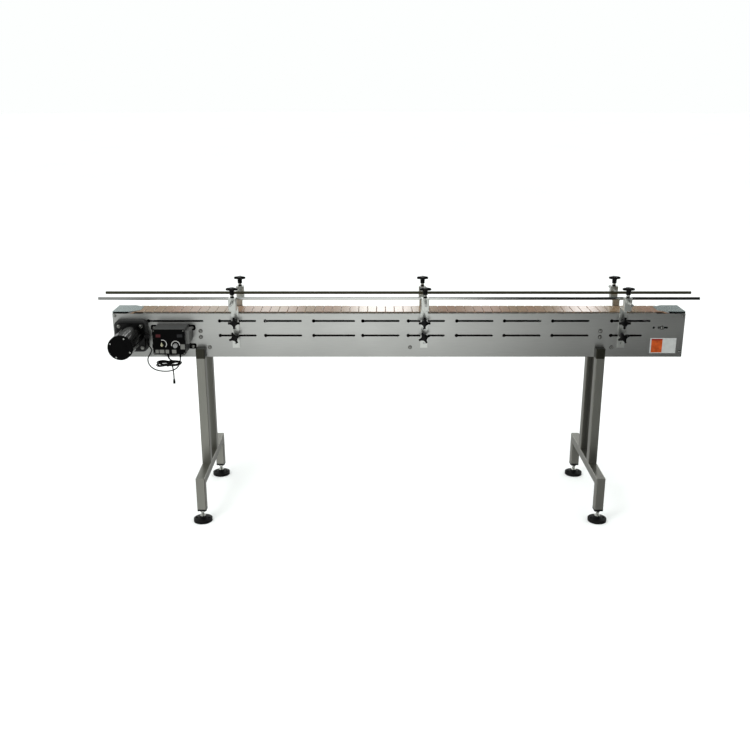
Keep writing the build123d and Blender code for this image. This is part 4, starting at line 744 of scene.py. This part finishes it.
def head(piece, at, out, radius, height):
    """A domed head with a socket, over a washer in painted shade that outlines it."""
    washer = [
        (radius, 0), (radius, washer_height - washer_edge),
        (radius - washer_edge, washer_height), (washer_bore, washer_height),
    ]
    piece.turned(at, out, washer, 1)
    dome = [(radius * dome_share * wide, height * high) for wide, high in dome_shares]
    piece.turned(at, out, [(radius * dome_share, 1), *dome])


large_head, medium_head, strap_head, small_head = (8.9, 5.8), (8.3, 5.6), (6.6, 4.2), (6.6, 4.0)
leg_x = [middle_of(f"{end}_leg_frame").x for end in ("left", "right")]
leg_bolt_z = (773.4, 800.4)
spreader_x, spreader_z = (-812.0, 48.6, 914.2), 727.8
screw_x = plate_high.x - 10.2
cover_low, cover_high = box_of("left_end_cover")
screw_z = (cover_low.z + 8.5, cover_high.z - 18.0)
tail = middle_of("tail_shaft")
motor = middle_of("motor_end_cap")
flange_y, flange_reach = -114.85, 47.0
strap_thickness, strap_z, strap_bolt_reach = 3.0, (816.0, 734.0), 81.5
strap_y = -(plate_high.y + strap_thickness)
head_gap = 0.05
heads = Piece("bolt_heads", bolt_steel, washer_painted_shade)
for _, side in sides:
    out = (0, side, 0)
    face_y = side * (plate_high.y + head_gap)
    for x in leg_x:
        for z in leg_bolt_z:
            head(heads, (x, face_y, z), out, *large_head)
    for x in spreader_x:
        head(heads, (x, face_y, spreader_z), out, *medium_head)
    for x in (-screw_x, screw_x):
        for z in screw_z:
            head(heads, (x, face_y, z), out, *small_head)
    head(heads, (tail.x, face_y, tail.z), out, *large_head)
forward = (0, -1, 0)
for x in (motor.x - flange_reach, motor.x + flange_reach):
    for z in (motor.z - flange_reach, motor.z + flange_reach):
        head(heads, (x, flange_y, z), forward, *large_head)
for x in (box_middle.x - strap_bolt_reach, box_middle.x + strap_bolt_reach):
    for z in strap_z:
        head(heads, (x, strap_y - head_gap, z), forward, *strap_head)
heads.finish("frame", "bolt_steel")


# Strain reliefs along the cords, where they leave their glands
def centre_line(cord):
    """The cord's centre line in millimetres, read from its spline."""
    bare = cord.data.copy()
    bare.bevel_depth = 0
    line = bpy.data.objects.new("centre_line", bare)
    mesh = bpy.data.meshes.new_from_object(line)
    points = [v.co * 1000 for v in mesh.vertices]
    bpy.data.objects.remove(line)
    bpy.data.meshes.remove(mesh)
    bpy.data.curves.remove(bare)
    return points


sleeve_length, sleeve_thick, sleeve_thin, sleeve_steps = 21.0, 4.6, 3.0, 20
rib_height = 0.35
rib_shares = ((0.0, 0), (0.25, 1), (0.55, 1), (0.8, 0))


def sleeve(piece, points):
    """A ribbed sleeve, tapered along the first stretch of a centre line."""
    rings = []
    done = 0.0
    for i, (here, there) in enumerate(zip(points, points[1:])):
        turn = (there - here).to_track_quat("Z", "Y")
        for share, rib in rib_shares:
            at = done + share * (there - here).length
            reach = sleeve_thick + (sleeve_thin - sleeve_thick) * at / sleeve_length
            if i:
                reach += rib * rib_height
            ring = []
            for step in range(sleeve_steps):
                angle = math.tau * step / sleeve_steps
                ring.append(
                    here.lerp(there, share)
                    + turn @ Vector((reach * math.cos(angle), reach * math.sin(angle), 0))
                )
            rings.append(ring)
        done += (there - here).length
        if done > sleeve_length:
            break
    piece.rings(rings)


sleeves = Piece("strain_reliefs", cord_black)
lead_line = centre_line(motor_lead)
for line in (lead_line, lead_line[::-1], centre_line(supply_cord)):
    sleeve(sleeves, line)
sleeves.finish("frame", "cord_sheath")


# Motor end cap with four screws
cap_y, cap_screw_y, cap_screw_circle, cap_screw_turn = -276.0, -289.8, 43.0, 65
cap_profile = [
    (50.8, 0), (51.0, 0.4), (51.0, 11.0), (50.6, 12.4), (49.6, 13.5), (48.2, 14.0), (36, 14.0),
    (34.6, 13.2), (33.2, 13.2), (31.8, 14.0),
]
cap_screw_profile = [(3.4, 0), (3.4, 0.3), (2.8, 0.5)]
cap = Piece("motor_cap", cap_black, bolt_steel)
cap.turned((motor.x, cap_y, motor.z), forward, cap_profile, steps=96)
for quarter in range(4):
    angle = math.radians(cap_screw_turn + 90 * quarter)
    x = motor.x + cap_screw_circle * math.cos(angle)
    z = motor.z + cap_screw_circle * math.sin(angle)
    cap.turned((x, cap_screw_y, z), forward, cap_screw_profile, 1, steps=24)
cap.finish("frame", "black_enamel", "motor_end_cap")


# Control box: body, two straps and the cooling fins
lid_low, lid_high = box_of("control_box_cover")
lid_gap = 0.25
box_edge, box_corner = 0.8, 4
strap_half_length, strap_half_height, strap_edge, strap_corner = 95.0, 11.5, 0.4, 7
fin_z, fin_edge = (767.0, 823.0), 0.3
fin_count, fin_pitch, fin_half = 8, 9.5, 1.0
fin_root_x, fin_tip_x = lid_high.x + 2.8, lid_high.x + 15.1
fin_base_low = (lid_high.x + 0.1, -147.4, fin_z[0])
fin_base_high = (lid_high.x + 3.0, -79.0, fin_z[1])
box = Piece("control_box_body", box_grey, fin_grey, box_black)
box.block(
    (lid_low.x, lid_high.y + lid_gap, lid_low.z),
    (lid_high.x, strap_y, lid_high.z),
    box_edge,
    corner=box_corner,
)
for z in strap_z:
    box.block(
        (box_middle.x - strap_half_length, strap_y, z - strap_half_height),
        (box_middle.x + strap_half_length, -(plate_high.y + head_gap), z + strap_half_height),
        strap_edge,
        2,
        corner=strap_corner,
    )
box.block(fin_base_low, fin_base_high, fin_edge, 1)
for i in range(fin_count):
    y = fin_base_low[1] + fin_half + fin_pitch * i
    box.block(
        (fin_root_x, y - fin_half, fin_z[0]), (fin_tip_x, y + fin_half, fin_z[1]), fin_edge, 1
    )
box.finish("frame", "box_black", "control_box")


# Scales round the dial and the switch
scale_radius, scale_width, scale_steps = 17.0, 3.2, 28
scale_layers = (-164.45, -164.75)
dial_centre, dial_span = (-936.0, 766.5), (-5, 195)
switch_centre, switch_span = (-990.5, 771.0), (-50, 105)


def scale_arc(piece, centre, span):
    """A thin flat arc on the box's face, over a span in degrees."""
    ring = []
    for side in (-1, 1):
        reach = scale_radius + side * scale_width / 2
        for i in range(scale_steps + 1)[::side]:
            angle = math.radians(span[0] + (span[1] - span[0]) * i / scale_steps)
            ring.append((centre[0] + reach * math.cos(angle), centre[1] + reach * math.sin(angle)))
    piece.rings([[Vector((x, y, z)) for x, z in ring] for y in scale_layers])


scales = Piece("face_scales", scale_grey)
scale_arc(scales, dial_centre, dial_span)
scale_arc(scales, switch_centre, switch_span)
scales.finish("frame", "label_film")


# Chain: small bevels on the slats' edges, in metres
weld = nodes["belt_top_run"].modifiers.new("weld", "WELD")
weld.merge_threshold = 1e-6
bevel = nodes["belt_top_run"].modifiers.new("bevel", "BEVEL")
bevel.width = 0.0014
bevel.use_clamp_overlap = False
bevel.segments = 1
bevel.angle_limit = math.radians(60)


# Stage: a pale floor, and soft light
floor_radii = (1.5, 5.0, 60.0)
floor_steps = 96
floor_dim, floor_bright = (0.93, 0.95, 0.94), (0.95, 0.97, 0.96)


def disc(name):
    """A flat round floor of rings, in metres."""
    mesh = bpy.data.meshes.new(name)
    shape = bmesh.new()
    turns = [math.tau * i / floor_steps for i in range(floor_steps)]
    rings = [
        [shape.verts.new((radius * math.cos(turn), radius * math.sin(turn), 0)) for turn in turns]
        for radius in floor_radii
    ]
    shape.faces.new(rings[0])
    for low, high in zip(rings, rings[1:]):
        for i in range(floor_steps):
            j = (i + 1) % floor_steps
            shape.faces.new((low[i], high[i], high[j], low[j]))
    shape.to_mesh(mesh)
    shape.free()
    return link(bpy.data.objects.new(name, mesh))


floor = disc("floor")
floor.visible_glossy = False
floor_look = Shader("floor_paint", Specular_IOR_Level=0.1)
floor_cloud = floor_look.noise(0.6, detail=2.0)
floor_stops = [(noise_low, floor_dim), (noise_high, floor_bright)]
floor_look.colour(floor_look.ramp(floor_cloud, floor_stops))
floor_look.roughness(floor_cloud, 0.85, 0.95)
floor.data.materials.append(floor_look.material)


class Studio:
    """Light all round: white to the eye, even for shading, and with windows for gloss.

    A direction's X runs from left to right, Y from front to back and Z from low to high. Each
    wall is a list of stops along X, and walls blend into each other over spans of Y or Z.
    """

    top_level = 4.0
    eye_level = 1.0
    tint = (0.985, 1.0, 0.993, 1)
    front_to_back = (0.05, 0.25)
    front_low_to_high = (-0.08, 0.08)
    back_low_to_high = (0.0, 0.12)
    above_to_back = (0.5, 0.38)

    def __init__(self):
        world = bpy.data.worlds.new("studio")
        world.use_nodes = True
        self.tree = world.node_tree
        self.background = self.tree.nodes["Background"]
        coordinate = self.tree.nodes.new("ShaderNodeTexCoord")
        split = self.tree.nodes.new("ShaderNodeSeparateXYZ")
        self.tree.links.new(coordinate.outputs["Generated"], split.inputs["Vector"])
        self.way = split.outputs
        path = self.tree.nodes.new("ShaderNodeLightPath")
        self.camera_ray = path.outputs["Is Camera Ray"]
        self.gloss_ray = path.outputs["Is Glossy Ray"]
        scene.world = world

    def put(self, source, socket):
        """Links an output to a socket, or sets it to a number."""
        if isinstance(source, (int, float)):
            socket.default_value = source
        else:
            self.tree.links.new(source, socket)

    def span(self, source, low, high):
        """0 to 1 from low to high."""
        node = self.tree.nodes.new("ShaderNodeMapRange")
        self.tree.links.new(source, node.inputs["Value"])
        node.inputs["From Min"].default_value = low
        node.inputs["From Max"].default_value = high
        return node.outputs["Result"]

    def mix(self, factor, first, second):
        """A blend of two numbers."""
        node = self.tree.nodes.new("ShaderNodeMix")
        for source, name in ((factor, "Factor"), (first, "A"), (second, "B")):
            self.put(source, node.inputs[name])
        return node.outputs["Result"]

    def levels(self, stops):
        """Brightness by direction, from left (-1) to right (1)."""
        ramp = self.tree.nodes.new("ShaderNodeValToRGB")
        self.tree.links.new(self.span(self.way["X"], -1, 1), ramp.inputs["Fac"])
        greys = [((side + 1) / 2, (level / self.top_level,) * 3) for side, level in stops]
        set_stops(ramp.color_ramp, greys)
        scaled = self.tree.nodes.new("ShaderNodeMath")
        scaled.operation = "MULTIPLY"
        self.tree.links.new(ramp.outputs["Color"], scaled.inputs[0])
        scaled.inputs[1].default_value = self.top_level
        return scaled.outputs["Value"]

    def finish(self, low_front, high_front, low_back, high_back, above, shading):
        """Puts the walls together and sets the background."""
        rise = self.span(self.way["Z"], *self.front_low_to_high)
        front = self.mix(rise, self.levels(low_front), self.levels(high_front))
        rise = self.span(self.way["Z"], *self.back_low_to_high)
        wall = self.mix(rise, self.levels(low_back), self.levels(high_back))
        below = self.span(self.way["Z"], *self.above_to_back)
        back = self.mix(below, self.levels(above), wall)
        gloss = self.mix(self.span(self.way["Y"], *self.front_to_back), front, back)
        level = self.mix(self.gloss_ray, shading, gloss)
        strength = self.mix(self.camera_ray, level, self.eye_level)
        self.put(strength, self.background.inputs["Strength"])
        self.background.inputs["Color"].default_value = self.tint


low_front_wall = [
    (-1.0, 0.5), (-0.35, 0.4), (-0.2, 0.38), (-0.11, 1.15), (-0.02, 1.4), (0.085, 1.5),
    (0.13, 0.03), (0.42, 0.01), (0.7, 0.03), (1.0, 0.5),
]
high_front_wall = [
    (-1.0, 0.4), (-0.85, 1.6), (-0.6, 1.6), (-0.5, 0.3), (-0.26, 0.4), (-0.19, 0.15),
    (-0.16, 0.6), (-0.08, 0.95), (0.04, 0.82), (0.09, 0.5), (0.12, 0.01), (0.45, 0.01),
    (0.65, 0.05), (0.72, 0.9), (0.9, 0.9), (1.0, 0.4),
]
low_back_wall = [(-1.0, 0.5), (-0.2, 0.45), (0, 0.3), (1.0, 0.5)]
high_back_wall = [
    (-1.0, 0.7), (-0.8, 2.2), (-0.4, 2.2), (-0.34, 0.35), (-0.295, 0.65), (-0.265, 0.65),
    (-0.25, 0.35), (-0.21, 0.4), (-0.19, 1.2), (-0.15, 1.2), (-0.137, 0.7), (-0.125, 1.9),
    (-0.096, 1.9), (-0.08, 0.65), (-0.045, 0.65), (-0.033, 0.4), (-0.012, 3.6), (0.03, 3.6),
    (0.055, 0.25), (0.095, 0.25), (0.107, 1.0), (0.125, 1.0), (0.138, 0.22), (0.2, 0.22),
    (0.213, 3.6), (0.229, 3.6), (0.24, 0.22), (0.33, 0.22), (0.38, 2.2), (0.8, 2.2),
    (1.0, 0.7),
]
above_wall = [(-1.0, 0.5), (-0.3, 0.3), (0.1, 0.3), (0.13, 0.03), (0.45, 0.03), (1.0, 0.5)]
shading_level = 1.1
Studio().finish(
    low_front_wall, high_front_wall, low_back_wall, high_back_wall, above_wall, shading_level
)


def soft_light(name, place, aim, size, power):
    """A rectangular lamp that doesn't show in reflections."""
    data = bpy.data.lights.new(name, "AREA")
    data.shape = "RECTANGLE"
    data.size, data.size_y = size
    data.energy = power
    lamp = link(bpy.data.objects.new(name, data))
    lamp.location = place
    lamp.visible_glossy = False
    lamp.rotation_mode = "QUATERNION"
    lamp.rotation_quaternion = (Vector(aim) - Vector(place)).to_track_quat("-Z", "Y")


soft_light("key", (-2.4, -2.6, 3.8), (0, 0, 0.8), (1.6, 1.6), 60)
soft_light("back", (0.3, 4.2, 3.6), (0, 0, 0.9), (4.0, 1.6), 40)
scene.view_settings.view_transform = "Standard"
